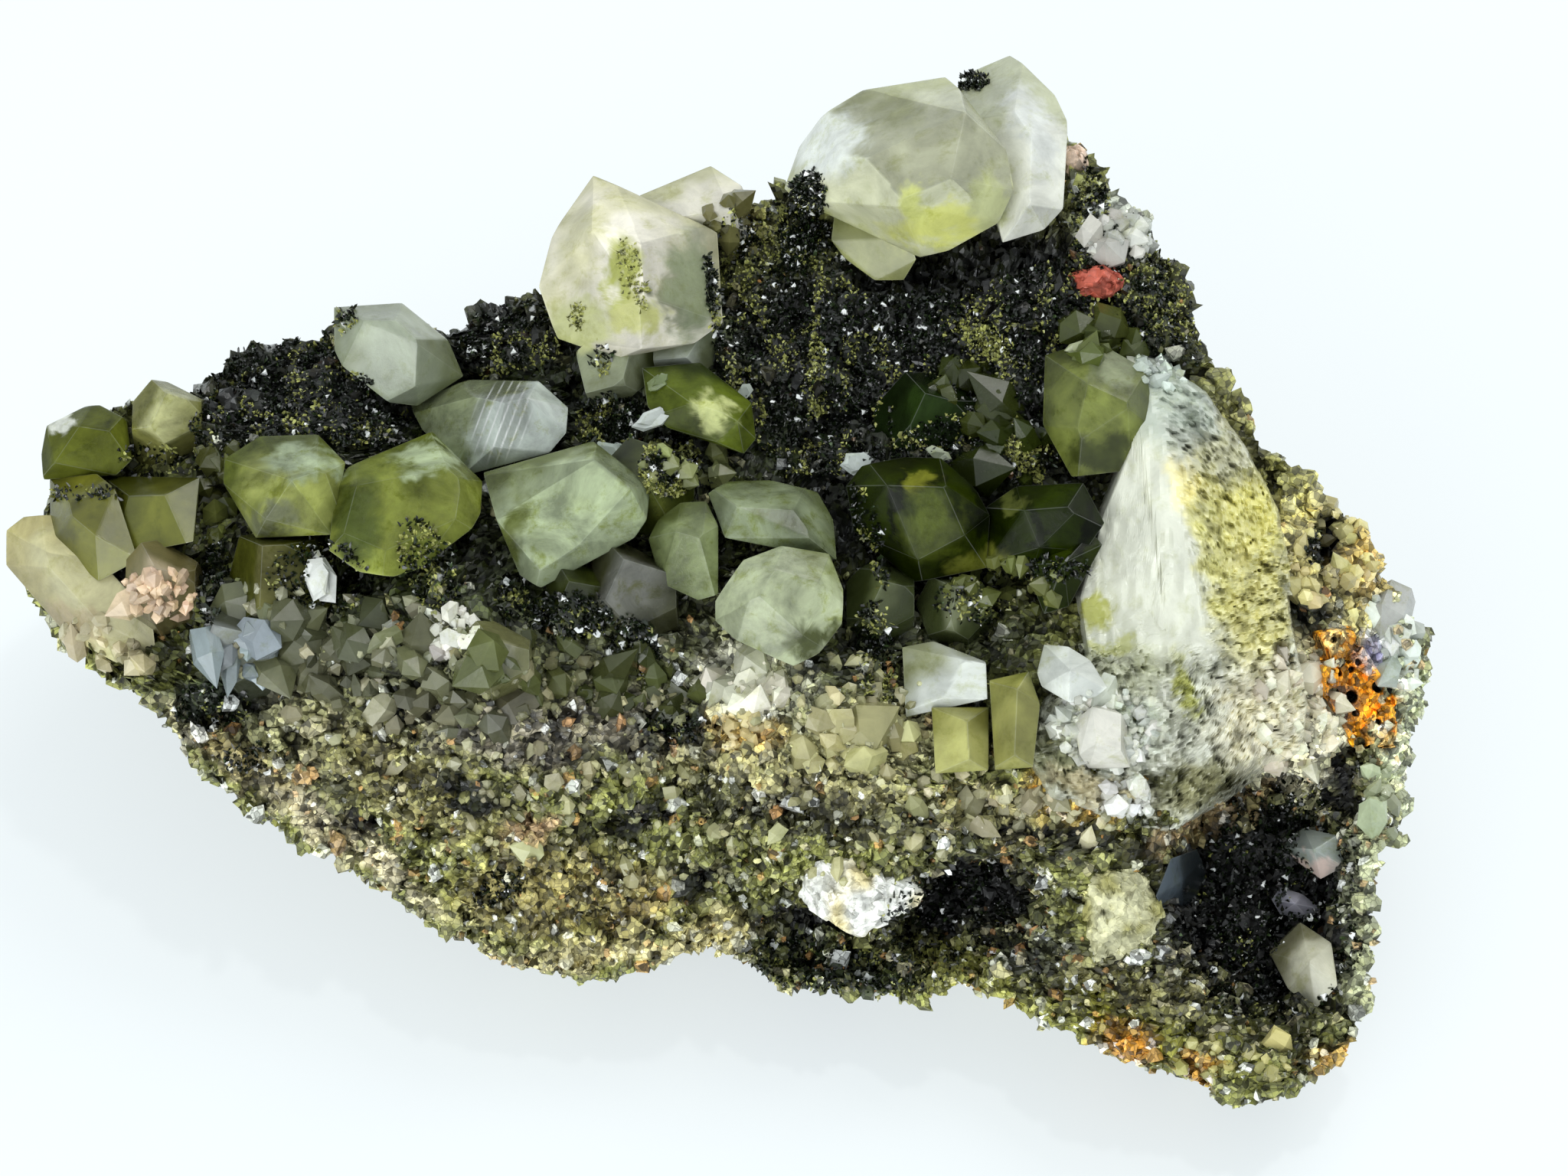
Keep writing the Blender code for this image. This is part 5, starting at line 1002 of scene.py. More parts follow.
olive = add("ShaderNodeVectorMath", {"operation": "MULTIPLY"}, _0=veiled.outputs[0], _1=(0.62, 0.64, 0.30))
mottled = add(
    "ShaderNodeMix", {"data_type": "RGBA"},
    _0=dusted.outputs[0], _6=veiled.outputs[0], _7=olive.outputs[0],
)  # fmt: skip
# Pale edges: in part the milky quartz there, in part a painted highlight along every edge of the crystals.
pale_edge_and_highlight = add("ShaderNodeMapRange", _0=given["Rim"], From_Max=0.07, To_Min=0.13, To_Max=0.0)
white = (0.86, 0.88, 0.84, 1.0)
mixed = add("ShaderNodeMix", {"data_type": "RGBA"}, _0=pale_edge_and_highlight.outputs[0], _6=mottled.outputs[2], _7=white)
quartz_effect.links.new(mixed.outputs[2], result["Colour"])
polish = add("ShaderNodeMapRange", _0=dust.outputs[0], From_Min=0.3, From_Max=0.7, To_Min=0.03, To_Max=0.24)
quartz_effect.links.new(polish.outputs[0], result["Roughness"])
steps = add("ShaderNodeMath", {"operation": "ADD"}, _0=dust.outputs[0], _1=veil.outputs[0])
bump = add("ShaderNodeBump", Strength=0.5, Distance=0.00010, Height=steps.outputs[0])
quartz_effect.links.new(bump.outputs[0], result["Normal"])


def quartz_finish(name, transmission, cloud, shine):
    """Quartz with that share of its light let through, that strength of fog and that shine."""
    material = bpy.data.materials.new(name)
    material.use_nodes = True
    nodes, links = material.node_tree.nodes, material.node_tree.links
    shader = nodes["Principled BSDF"]
    veils = nodes.new("ShaderNodeGroup")
    veils.node_tree = quartz_effect
    veils.inputs["Cloud"].default_value = cloud
    for attribute, socket, output in (("tone", "Tone", "Color"), ("rim", "Rim", "Fac")):
        reader = nodes.new("ShaderNodeAttribute")
        reader.attribute_name = attribute
        links.new(reader.outputs[output], veils.inputs[socket])
    links.new(veils.outputs["Colour"], shader.inputs["Base Color"])
    links.new(veils.outputs["Roughness"], shader.inputs["Roughness"])
    links.new(veils.outputs["Normal"], shader.inputs["Normal"])
    shader.inputs["IOR"].default_value = 1.544
    shader.inputs["Transmission Weight"].default_value = transmission
    shader.inputs["Specular IOR Level"].default_value = shine
    return material


def joined(bodies):
    """Several bodies of (points, faces, per-point values ...) as one."""
    starts = np.cumsum([0] + [len(body[0]) for body in bodies[:-1]])
    faces = np.concatenate([body[1] + start for body, start in zip(bodies, starts)])
    rest = [np.concatenate([body[n] for body in bodies]) for n in range(2, len(bodies[0]))]
    return np.concatenate([body[0] for body in bodies]), faces, *rest


milky_quartz = quartz_finish("milky quartz", 0.20, 0.55, 0.4)
clear_quartz = quartz_finish("clear quartz", 0.42, 1.0, 0.24)
massive_quartz = quartz_finish("massive quartz", 0.08, 0.35, 0.5)
deep_quartz = quartz_finish("deep olive quartz", 0.12, 1.0, 0.04)
CLEARER = ("quartz_veiled_block", "quartz_middle", "quartz_striated", "quartz_window")
DEEPER = (
    "quartz_olive_pair", "quartz_olive_ridge", "quartz_olive_small", "quartz_smoky_corner",
    "quartz_left_block",
)  # fmt: skip
skins = [(rock_points, rock_faces)]
for number, (node, specs) in enumerate(QUARTZ.items()):
    striped = node == "quartz_striated"
    step = STRIPED_STEP if striped else FACET_STEP
    bodies = [
        crystal_body(spec, tones, 100 * number + k, step)
        for k, (spec, tones) in enumerate(zip(specs, QUARTZ_TONES[node]))
    ]
    points, faces, tones, rim = joined(bodies)
    tones = stained(points, tones, QUARTZ_STAINS_AND_HIGHLIGHTS, 0.8, 1.2)
    if striped:
        across = (points[:, 0] + STRIPE_LEAN * (points[:, 1] - STRIPES_FROM_V)) / STRIPE_PITCH
        in_stripes = smooth_step(1.1, 0.8, in_ellipse(points[:, 0], points[:, 1], *STRIPED_PLACE))
        lines = np.clip(np.cos(2 * math.pi * across), 0, 1) ** 6 * in_stripes
        tones = tones * (1 - 0.35 * in_stripes[:, None]) + lines[:, None] * (STRIPE_WHITE - 0.65 * tones)
    glassy = deep_quartz if node in DEEPER else clear_quartz if node in CLEARER else milky_quartz
    add_piece(node + "_crystals", points, faces, tones, glassy, "quartz", [node], CREASE, rim=rim)
    skins.append((points, faces))

# The massive quartz vein at the right: white and milky, smooth on its left slope and granular on its right
# one, stained yellow. A pillow over its outline whose back is sunk in the rock.
VEIN_OUTLINE = [
    (22.4, 15.4), (24.6, 15.2), (27.6, 13.0), (30.2, 9.4), (32.2, 5.2), (32.8, 1.0), (32.9, -2.6),
    (33.8, -7.6), (33.2, -10.6), (31.0, -12.2), (28.7, -14.2), (24.6, -15.6), (21.5, -14.9),
    (16.9, -13.4), (15.4, -10.8), (16.6, -7.2), (19.4, -4.3), (18.9, -0.5), (20.5, 5.1), (22.4, 9.7),
]  # fmt: skip
VEIN_MIDDLE = (24.6, -3.0)
VEIN_CELLS = (110, 210)
VEIN_RIDGE, VEIN_RIDGE_LEAN, VEIN_TOP = 23.6, 0.2, 13.0
VEIN_THICK, VEIN_LEFT_EDGE, VEIN_RIGHT_EDGE = 6.0, 2.0, 1.2
VEIN_LEFT_SLOPE, VEIN_RIGHT_SLOPE = 5.4, 7.6
VEIN_MIDDLE_V, VEIN_HALF_LENGTH, VEIN_LEAST = -0.5, 17.5, 0.2
VEIN_SUNK = 1.2
VEIN_CHIPPING = [(0.5, 1.5, 71), (0.34, 0.7, 83), (0.24, 0.4, 91)]  # height, size and seed
SMOOTH_CHIPPING, GRAINY_CHIPPING = 0.08, 1.25
VEIN_RIM = 0.04
VEIN_TONE = linear(216, 217, 200)
VEIN_STAINS = [  # (u, v, half width, half height, turn, colour)
    (26.2, 6.6, 1.3, 1.9, 12, (250, 240, 176)), (29.8, 4.4, 2.8, 4.6, 10, (236, 230, 150)),
    (29.4, 9.0, 2.6, 2.0, 30, (212, 210, 176)), (30.2, -1.0, 2.6, 4.2, 0, (238, 232, 164)),
    (20.1, -1.2, 0.7, 1.2, 0, (176, 178, 96)), (25.6, -6.0, 0.5, 1.9, 10, (184, 186, 110)),
    (21.4, -9.0, 2.4, 2.2, 0, (226, 232, 214)), (17.4, -11.0, 1.8, 2.0, 0, (150, 152, 120)),
    (26.4, -12.6, 3.0, 1.5, 20, (158, 156, 118)), (22.0, -4.9, 2.6, 1.6, 0, (202, 204, 178)),
    (30.6, -8.2, 3.2, 3.6, 0, (250, 244, 216)), (19.8, -12.6, 3.0, 1.0, -10, (206, 196, 160)),
    (25.2, 12.6, 3.0, 3.0, 0, (196, 204, 190)), (21.0, -3.6, 1.2, 0.5, 0, (196, 198, 140)),
    (27.4, 2.4, 1.1, 3.4, 8, (224, 220, 156)), (24.4, -12.4, 1.4, 0.8, 30, (96, 96, 66)),
    (28.4, -12.8, 1.0, 0.6, 20, (70, 70, 46)), (31.9, -4.4, 0.9, 1.2, 0, (150, 140, 96)),
]


def vein_off(u, v):
    """How far right of the vein's ridge."""
    return u - VEIN_RIDGE - VEIN_RIDGE_LEAN * (VEIN_TOP - v)


def vein_thickness(u, v):
    """Thickest along the ridge, falling straight to the left and right edges and at both ends."""
    off = vein_off(u, v)
    left = VEIN_THICK + (VEIN_LEFT_EDGE - VEIN_THICK) * np.clip(-off / VEIN_LEFT_SLOPE, 0, 1)
    right = VEIN_THICK + (VEIN_RIGHT_EDGE - VEIN_THICK) * np.clip(off / VEIN_RIGHT_SLOPE, 0, 1)
    ends = np.clip(1 - ((v - VEIN_MIDDLE_V) / VEIN_HALF_LENGTH) ** 4, VEIN_LEAST, 1)
    return np.where(off < 0, left, right) * ends


def pillow(outline, middle, cells, thickness, sunk):
    """A closed body on the rock over an outline: its top stands off the rock and its back is sunk."""
    u, v, share = outline_grid(outline, middle, cells)
    floor_w = lie(u, v)
    top = np.stack([u, v, floor_w + thickness(u, v, share)], -1).reshape(-1, 3)
    back = np.stack([u, v, floor_w - sunk], -1).reshape(-1, 3)
    index = np.arange(share.size).reshape(share.shape)
    sides = index[:-1, 0], index[-1, :-1], index[:0:-1, -1], index[0, :0:-1], index[:1, 0]
    border = np.concatenate(sides)
    wall = squares(np.stack([border, border + share.size]))
    faces = np.concatenate([squares(index), squares(index)[:, ::-1] + share.size, wall])
    return np.concatenate([top, back]), faces


def smooth_rock(u, v):
    """The rock's height without its breaks, so that the vein's left slope is flat."""
    return lie(u, v) - sum(height * broken(u, v, size, seed) for height, size, seed in BREAKS)


def granular(u, v):
    """1 where the vein is granular, right of the ridge and low down, and 0 on its smooth left slope."""
    return np.clip(np.maximum(vein_off(u, v) / 1.2, (-3.5 - v) / 1.5), 0, 1)


def vein_top(u, v, share):
    """The vein's thickness, with soft ridges down its left slope and crumbling towards its rim."""
    grainy = granular(u, v)
    place = np.stack([u, v, 0 * u], -1).reshape(-1, 3)
    lumps = sum(height * chips(place, size, seed)[0] for height, size, seed in VEIN_CHIPPING)
    waves = 0.34 * clouds(place * (1.7, 0.5, 1), 2.0, 73) + 0.20 * clouds(place * (1.7, 0.8, 1), 0.8, 74)
    roughness = SMOOTH_CHIPPING + GRAINY_CHIPPING * grainy
    relief = waves.reshape(u.shape) + roughness * lumps.reshape(u.shape)
    flat = smooth_rock(u, v) - lie(u, v)
    return (vein_thickness(u, v) + relief + flat) * np.clip((1 - share) / VEIN_RIM, 0, 1) ** 0.5


vein_points, vein_faces = pillow(VEIN_OUTLINE, VEIN_MIDDLE, VEIN_CELLS, vein_top, VEIN_SUNK)
vein_tones = stained(vein_points, VEIN_TONE, VEIN_STAINS, 0.7, 1.3)
chip, pick = chips(vein_points * (1, 1, 0.3), 0.7, 83)
vein_grainy = granular(vein_points[:, 0], vein_points[:, 1])
vein_tones *= (1 - vein_grainy * (0.20 * (1 - pick) + 0.24 * smooth_step(0.1, -0.6, chip)))[:, None]
vein_tones *= (1 + 0.08 * clouds(vein_points, 1.8, 77))[:, None]
add_piece(
    "vein_quartz", vein_points, vein_faces, vein_tones, massive_quartz, "quartz", ["quartz_vein"],
    CREASE, rim=1.0,
)  # fmt: skip
skins.append((vein_points, vein_faces))

# The broken lumps: a white one in the recess, a pale block beside the vug, a pink garnet and two grains at
# the upper right. Each is a body inside planes that touch an ellipsoid, its faces chipped.
LUMPS = {  # (u, v), half sizes, how far the middle stands over the rock, its two screen colours
    "feldspar_white_lump": ((4.8, -19.6), (3.7, 2.3, 2.2), 1.0, (240, 240, 232), (226, 212, 160)),
    "feldspar_pale_lump": ((21.4, -21.0), (2.7, 3.4, 1.8), 0.5, (196, 194, 156), (156, 152, 92)),
    "garnet_pink_grain": ((20.6, 20.1), (1.9, 1.1, 1.2), 1.6, (192, 98, 80), (166, 76, 56)),
    "feldspar_shoulder_lump": ((22.6, 23.0), (1.9, 1.7, 1.4), 0.8, (212, 216, 212), (160, 160, 110)),
    "feldspar_top_grain": ((19.4, 28.2), (0.9, 1.3, 1.0), 0.7, (216, 190, 170), (156, 130, 92)),
}
LUMP_FACES, LUMP_SPREAD, LUMP_UNEVEN, LUMP_SEED = 14, (0.8, 1.0), 0.3, 900
LUMP_STEP, LUMP_SOFTNESS = 0.22, 0.12
LUMP_CHIP_SIZE, LUMP_CHIP_HEIGHT, LUMP_SWELL_HEIGHT = 0.9, 0.26, 0.10
GOLDEN_TURN = math.pi * (3 - math.sqrt(5))


def lump_body(spec, seed):
    """A broken lump: planes touch the ellipsoid in scattered directions, and their body is chipped."""
    middle_uv, half, over, *tones = spec
    tone, second = (linear(*tone) for tone in tones)
    centre = np.array([*middle_uv, float(lie(*middle_uv)) + over])
    random = np.random.default_rng(seed)
    normals, reaches = [], []
    for k in range(LUMP_FACES):
        level = 1 - 2 * (k + 0.5) / LUMP_FACES
        angle = k * GOLDEN_TURN + random.uniform(-LUMP_UNEVEN, LUMP_UNEVEN)
        ring = math.sqrt(1 - level * level)
        direction = np.array([ring * math.cos(angle), ring * math.sin(angle), level])
        normals.append(unit(direction / half))
        reaches.append((centre + direction * half * random.uniform(*LUMP_SPREAD)) @ normals[-1])
    normals, reaches = np.array(normals), np.array(reaches)
    points, faces = faceted_body(normals, reaches, centre, LUMP_STEP)
    points = softened(points, normals, reaches, LUMP_SOFTNESS)
    chip, pick = chips(points, LUMP_CHIP_SIZE, seed)
    rise = LUMP_CHIP_HEIGHT * chip + LUMP_SWELL_HEIGHT * clouds(points, 0.5, seed)
    points = points + normals_of(points, faces) * rise[:, None]
    share = smooth_step(-0.2, 0.5, clouds(points, 1.7, seed + 1))[:, None]
    return points, faces, (tone + share * (second - tone)) * (0.84 + 0.26 * pick[:, None])


lump_finish = paint_rock("crumbly feldspar", 0.5, 0.16, 0.4)
for number, (node, spec) in enumerate(LUMPS.items()):
    points, faces, tones = lump_body(spec, LUMP_SEED + number)
    mineral = node.split("_")[0]
    add_piece(node.replace(mineral, "chipped"), points, faces, tones, lump_finish, mineral, [node])
    skins.append((points, faces))

# The limonite: an orange, rusty sponge at the right edge, eaten through with black holes.
LIMONITE_OUTLINE = [(34.2, -2.8), (36.8, -2.4), (40.0, -7.4), (39.8, -10.4), (36.8, -10.4), (34.8, -7.0)]
LIMONITE_MIDDLE = (37.2, -6.6)
LIMONITE_CELLS = (90, 130)
HOLE_PITCH, LEAST_HOLE, HOLE_RANGE, HOLE_EDGE = 1.3, 0.12, 0.24, 0.08
CRUST_HEIGHT, HOLE_DEPTH, CRUST_SUNK, CRUST_RIM = 1.2, 1.8, 1.0, 0.06
RUST = linear(244, 166, 34)
LIMONITE_STAINS = [  # (u, v, half width, half height, turn, colour)
    (38.3, -4.4, 1.2, 1.0, 0, (214, 200, 200)), (35.6, -3.4, 1.0, 0.8, 0, (224, 196, 130)),
    (38.9, -9.6, 1.2, 1.0, 0, (196, 168, 104)), (36.2, -7.6, 1.2, 1.4, 0, (150, 96, 40)),
]


def limonite_holes(u, v):
    """1 inside a hole, 0 outside: a round hole of its own size somewhere in each cell of a lattice."""
    deepest = np.zeros(np.shape(u))
    for step_u, step_v in itertools.product((-1, 0, 1), repeat=2):
        i, j = np.floor(u / HOLE_PITCH) + step_u, np.floor(v / HOLE_PITCH) + step_v
        away = np.hypot(u / HOLE_PITCH - i - lattice(i, j, 5), v / HOLE_PITCH - j - lattice(i, j, 6))
        radius = LEAST_HOLE + HOLE_RANGE * lattice(i, j, 7)
        deepest = np.maximum(deepest, np.clip((radius - away) / HOLE_EDGE, 0, 1))
    return deepest


def limonite_top(u, v, share):
    """A rough crust with round holes."""
    place = np.stack([u, v, 0 * u], -1).reshape(-1, 3)
    lumps = 0.40 * chips(place, 0.6, 11)[0] + 0.30 * clouds(place, 0.5, 12)
    top = CRUST_HEIGHT + lumps.reshape(u.shape) - HOLE_DEPTH * limonite_holes(u, v)
    return top * np.clip((1 - share) / CRUST_RIM, 0, 1) ** 0.5


points, faces = pillow(LIMONITE_OUTLINE, LIMONITE_MIDDLE, LIMONITE_CELLS, limonite_top, CRUST_SUNK)
holes = limonite_holes(points[:, 0], points[:, 1])[:, None]
pick = chips(points, 0.6, 11)[1][:, None]
tones = stained(points, RUST, LIMONITE_STAINS, 0.5, 0.9)
tones = tones * (0.55 + 0.75 * pick) * (1 - 0.97 * holes)
add_piece("rusty_sponge", points, faces, tones, rock_finish, "limonite", ["limonite_crust"])
skins.append((points, faces))

# The rock's grains: thousands of small angular bits of quartz, feldspar and epidote that stand out of its
# broken faces. Each is a blunt five-sided body pulled out of shape, half sunk where it sits.
GRAINS = {  # how many, share of their own colour, own screen colours
    "grains_olive": (7500, 0.35, [
        (150, 150, 96), (96, 98, 56), (60, 64, 34), (176, 176, 120), (34, 38, 20),
    ]),
    "grains_pale": (5200, 0.6, [
        (214, 214, 196), (196, 190, 140), (228, 230, 228), (176, 168, 136), (176, 128, 76),
    ]),
}  # fmt: skip
GRAIN_SIZE, GRAIN_SPREAD = -1.25, 0.45  # of the natural logarithm of a grain's half width
GRAIN_STRETCH, GRAIN_LIGHT = (0.6, 1.2), (0.6, 1.25)
LEAST_GRAIN, LARGEST_GRAIN, GRAIN_SUNK, GRAIN_RAGGED = 0.08, 0.8, 0.2, 0.8


def pointed_prism(sides, profile, tip):
    """Corners and triangles of a small body: rings of corners at each (radius, height), a flat face below
    the first ring, and a point over the last one."""
    around = np.arange(sides) * 2 * math.pi / sides
    rings = [np.stack([r * np.cos(around), r * np.sin(around), h + 0 * around], -1) for r, h in profile]
    corners = np.concatenate([*rings, [[0, 0, tip]]])
    index = np.arange(sides * len(profile)).reshape(len(profile), sides)
    index = np.concatenate([index, index[:, :1]], axis=1)
    top = np.stack([index[-1, :-1], index[-1, 1:], np.full(sides, len(corners) - 1)], -1)
    base = np.array([(0, k + 1, k) for k in range(1, sides - 1)])
    return corners, np.concatenate([squares(index.T), top, base])


def upright(leans, random):
    """For each lean, a frame: two directions across it, at a random turn, and the lean itself."""
    side = unit(np.cross(leans, random.normal(size=leans.shape)))
    return np.stack([side, np.cross(leans, side), leans], 1)


def scattered(template, places, frames, sizes, tones, random, ragged):
    """A copy of one small body at each place, turned by its frame, sized and pulled out of shape."""
    corners, faces = template
    pull = 1 + ragged * (random.random((len(places), len(corners), 1)) - 0.5)
    local = corners[None] * pull * sizes[:, None, :]
    points = np.einsum("nij,njk->nik", local, frames) + places[:, None, :]
    index = faces[None] + (np.arange(len(places)) * len(corners))[:, None, None]
    return points.reshape(-1, 3), index.reshape(-1, 3), np.repeat(tones, len(corners), axis=0)


def places_on(points, faces, weights, count, random):
    """Random places on a skin, as many on each triangle as its area and weight call for, with normals."""
    a, b, c = (points[faces[:, k]] for k in range(3))
    across = np.cross(b - a, c - a)
    share = np.linalg.norm(across, axis=1) * weights[faces].mean(axis=1)
    chosen = random.choice(len(faces), count, p=share / share.sum())
    r, s = random.random((2, count, 1))
    r, s = np.where(r + s > 1, 1 - r, r), np.where(r + s > 1, 1 - s, s)
    return a[chosen] + r * (b - a)[chosen] + s * (c - a)[chosen], unit(across[chosen])


grain = pointed_prism(5, [(0.75, -0.7), (1.0, 0.2)], 0.9)
random = np.random.default_rng(41)
above_table = smooth_step(0.8, 3.0, to_room(rock_points)[:, 2] / MM)
open_rock = above_table * smooth_step(1.5, 10, -rock_points[:, 1] + 0.12 * rock_points[:, 0])
for name, (count, own_share, colours) in GRAINS.items():
    places, outs = places_on(rock_points, rock_faces, open_rock + 0.25 * above_table, count, random)
    sizes = random.lognormal(GRAIN_SIZE, GRAIN_SPREAD, (count, 1))
    sizes = sizes * random.uniform(*GRAIN_STRETCH, (count, 3))
    sizes = np.clip(sizes, LEAST_GRAIN, LARGEST_GRAIN)
    shades = np.array([linear(*colour) for colour in colours])
    own = shades[random.integers(0, len(shades), count)] * random.uniform(*GRAIN_LIGHT, (count, 1))
    under = stained(places, ROCK_TONE, ROCK_STAINS_AND_SHADE, RAGGED_BY, RAGGED_SIZE)
    in_light = smooth_step(0.0, 0.08, under.sum(axis=1))[:, None]
    mixed = (own * own_share + under * (1.08 - own_share)) * in_light
    frames = upright(unit(random.normal(size=(count, 3))), random)
    middles = places - outs * sizes[:, :1] * GRAIN_SUNK
    points, faces, tones = scattered(grain, middles, frames, sizes, mixed, random, GRAIN_RAGGED)
    add_piece(name, points, faces, tones, rock_finish, "rock")

# The small quartz: sparkling crystals and granules in the gaps between the large ones, over the vein's foot
# and sprinkled on the rock, and thin pale flakes and a shard that lie on the olive crystals, in part broken
# quartz and in part painted glints.
SMALL_QUARTZ = [  # (u, v, half width, half height, turn, how many, half width of each, colour)
    (-30, -3.4, 7.5, 2.8, -12, 26, 1.15, (100, 103, 74)),
    (-25, -6.4, 9, 2.2, -14, 30, 0.95, (108, 107, 82)), (-12, -5.6, 8, 2.4, -6, 30, 0.95, (86, 92, 52)),
    (-28, -2.6, 8.5, 3.0, -12, 80, 0.36, (160, 160, 130)),
    (-14, -6.6, 11, 2.6, -4, 90, 0.38, (156, 154, 116)),
    (-21.4, -2.8, 1.9, 1.6, 0, 60, 0.40, (232, 230, 216)),
    (2, -6.8, 7, 2.4, 0, 60, 0.46, (192, 188, 146)), (-2.4, -6.2, 2.8, 1.7, 0, 34, 0.80, (236, 232, 210)),
    (-2.4, -9.2, 2.0, 1.3, 0, 40, 0.40, (222, 206, 150)),
    (4.8, -9.8, 4.4, 1.7, 0, 40, 0.70, (196, 190, 136)),
    (20.4, -9.0, 3.2, 2.6, 0, 150, 0.38, (240, 242, 230)),
    (-40.4, -0.4, 2.4, 1.7, 0, 60, 0.36, (226, 196, 164)),
    (-35.0, -4.4, 2.4, 1.8, 0, 14, 0.90, (150, 160, 164)),
    (-44, -3.6, 3.6, 1.4, -25, 30, 0.50, (214, 204, 164)),
    (-6.0, 8.0, 3.0, 1.4, 0, 14, 0.60, (140, 146, 92)),
    (22.2, 23.2, 2.2, 1.8, 0, 40, 0.50, (214, 214, 204)),
    (14.0, 0.0, 4.0, 1.8, 0, 40, 0.50, (112, 118, 62)),
    (21.8, -13.4, 1.6, 1.3, 0, 34, 0.36, (244, 244, 234)),
    (-25, -8.6, 13, 3.0, -22, 90, 0.40, (176, 172, 140)),
    (-4, -15, 16, 4.5, 0, 130, 0.36, (190, 186, 140)),
    (14, -14.0, 8, 1.8, -12, 70, 0.40, (214, 208, 170)),
    (30, -29.6, 6, 1.6, 0, 40, 0.36, (190, 184, 120)), (-36.8, 6.2, 1.2, 3.0, 0, 16, 0.60, (90, 94, 46)),
    (12.0, 13.0, 3.0, 2.4, 0, 14, 1.00, (58, 66, 22)), (21.0, 16.4, 2.6, 1.4, 0, 12, 0.90, (84, 92, 40)),
    (15.0, 8.6, 3.4, 2.0, 0, 14, 1.00, (50, 60, 18)),
    (24.6, 14.4, 1.8, 1.4, 0, 40, 0.34, (214, 224, 214)),
    (39.8, -3.0, 1.4, 4.0, 10, 26, 0.80, (232, 238, 228)),
    (38.5, -14.0, 1.0, 3.0, 0, 20, 0.50, (176, 182, 150)),
    (33.0, -8.0, 3.2, 4.2, 0, 90, 0.40, (248, 240, 214)),
    (35.6, 1.6, 2.8, 4.0, 0, 60, 0.42, (240, 226, 160)),
    (-4.0, 24.4, 1.4, 1.6, 0, 10, 0.60, (112, 108, 66)),
]
CRYSTAL_LEAN, CRYSTAL_SUNK, CRYSTAL_RAGGED = 0.55, 0.2, 0.35
# The pale flakes are in part broken quartz and in part painted glints, set where the crystals sparkle.
FLAKES_AND_GLINTS = [  # (u, v, half length, half width, turn, colour)
    (-8.6, 11.0, 1.3, 0.55, 15, (222, 228, 222)), (-11.4, 9.0, 1.1, 0.65, -10, (206, 216, 208)),
    (5.0, 8.1, 1.3, 0.8, 10, (214, 222, 216)), (-29.9, 0.8, 0.9, 1.6, 12, (228, 230, 224)),
    (-8.2, 13.4, 0.8, 0.5, 40, (120, 134, 90)), (10.0, 8.8, 0.9, 0.4, -20, (196, 204, 176)),
    (-20.9, -3.3, 1.0, 0.6, -20, (226, 226, 216)), (-2.6, 12.8, 0.7, 0.5, 60, (206, 214, 202)),
    (19.2, 15.6, 0.9, 0.5, 20, (180, 186, 150)), (-24.9, -2.6, 1.1, 0.7, 30, (186, 188, 170)),
]
FLAKE_LEAN, FLAKE_RAGGED, FLAKE_GAP = 0.22, 0.5, 0.12
ABOVE_ALL = 70.0
surface = BVHTree.FromPolygons(*(part.tolist() for part in joined(skins)))


def surface_under(u, v):
    """Where a ray down w meets the surface at each (u, v) that has one, and the way it looks there."""
    hits = [surface.ray_cast((a, b, ABOVE_ALL), (0, 0, -1)) for a, b in zip(u.tolist(), v.tolist())]
    spots, looks = (np.array([tuple(hit[n]) for hit in hits if hit[0]]).reshape(-1, 3) for n in (0, 1))
    return spots, np.where(looks[:, 2:] < 0, -looks, looks)


def in_patch(middle_u, middle_v, half_u, half_v, turn, count, random):
    """Random places in a turned ellipse."""
    reach, around = np.sqrt(random.random(count)), random.uniform(0, 2 * math.pi, count)
    across, up = half_u * reach * np.cos(around), half_v * reach * np.sin(around)
    c, s = math.cos(math.radians(turn)), math.sin(math.radians(turn))
    return middle_u + across * c - up * s, middle_v + across * s + up * c


small_crystal = pointed_prism(6, [(0.9, -0.6), (1.0, 0.35)], 1.15)
plate = pointed_prism(6, [(1.0, -0.1), (0.9, 0.1)], 0.12)
random = np.random.default_rng(73)
bodies = []
for *patch, count, half, colour in SMALL_QUARTZ:
    spots, looks = surface_under(*in_patch(*patch, count, random))
    count = len(spots)
    wide = half * random.lognormal(-0.15, 0.38, (count, 1)) * random.uniform(0.75, 1.25, (count, 2))
    sizes = np.column_stack([wide, wide.max(axis=1) * random.uniform(0.8, 1.7, count)])
    frames = upright(unit(looks + CRYSTAL_LEAN * random.normal(size=(count, 3))), random)
    tones = linear(*colour) * random.uniform(0.55, 1.25, (count, 1))
    tones = tones * (1 + 0.02 * random.normal(size=(count, 3)))
    middles = spots - looks * wide[:, :1] * CRYSTAL_SUNK
    bodies.append(scattered(small_crystal, middles, frames, sizes, tones, random, CRYSTAL_RAGGED))
for flake_u, flake_v, long, wide, turn, colour in FLAKES_AND_GLINTS:
    spots, looks = surface_under(*in_patch(flake_u, flake_v, 0.3 * long, 0.3 * wide, turn, 4, random))
    count = len(spots)
    leans = unit((0, 0, 1) + FLAKE_LEAN * random.normal(size=(count, 3)))
    along = np.array([math.cos(math.radians(turn)), math.sin(math.radians(turn)), 0.0])
    side = unit(along - (leans @ along)[:, None] * leans)
    frames = np.stack([side, np.cross(leans, side), leans], 1)
    sizes = np.array([long, wide, 1.2]) * random.uniform(0.55, 1.0, (count, 3))
    places = np.stack([spots[:, 0], spots[:, 1], spots[:, 2].max() + FLAKE_GAP * np.arange(count)], -1)
    tones = linear(*colour) * random.uniform(0.8, 1.1, (count, 1))
    bodies.append(scattered(plate, places, frames, sizes, tones, random, FLAKE_RAGGED))
points, faces, tones = joined(bodies)
add_piece("small_quartz_crystals", points, faces, tones, milky_quartz, "quartz", rim=1.0)
skins.append((points, faces))

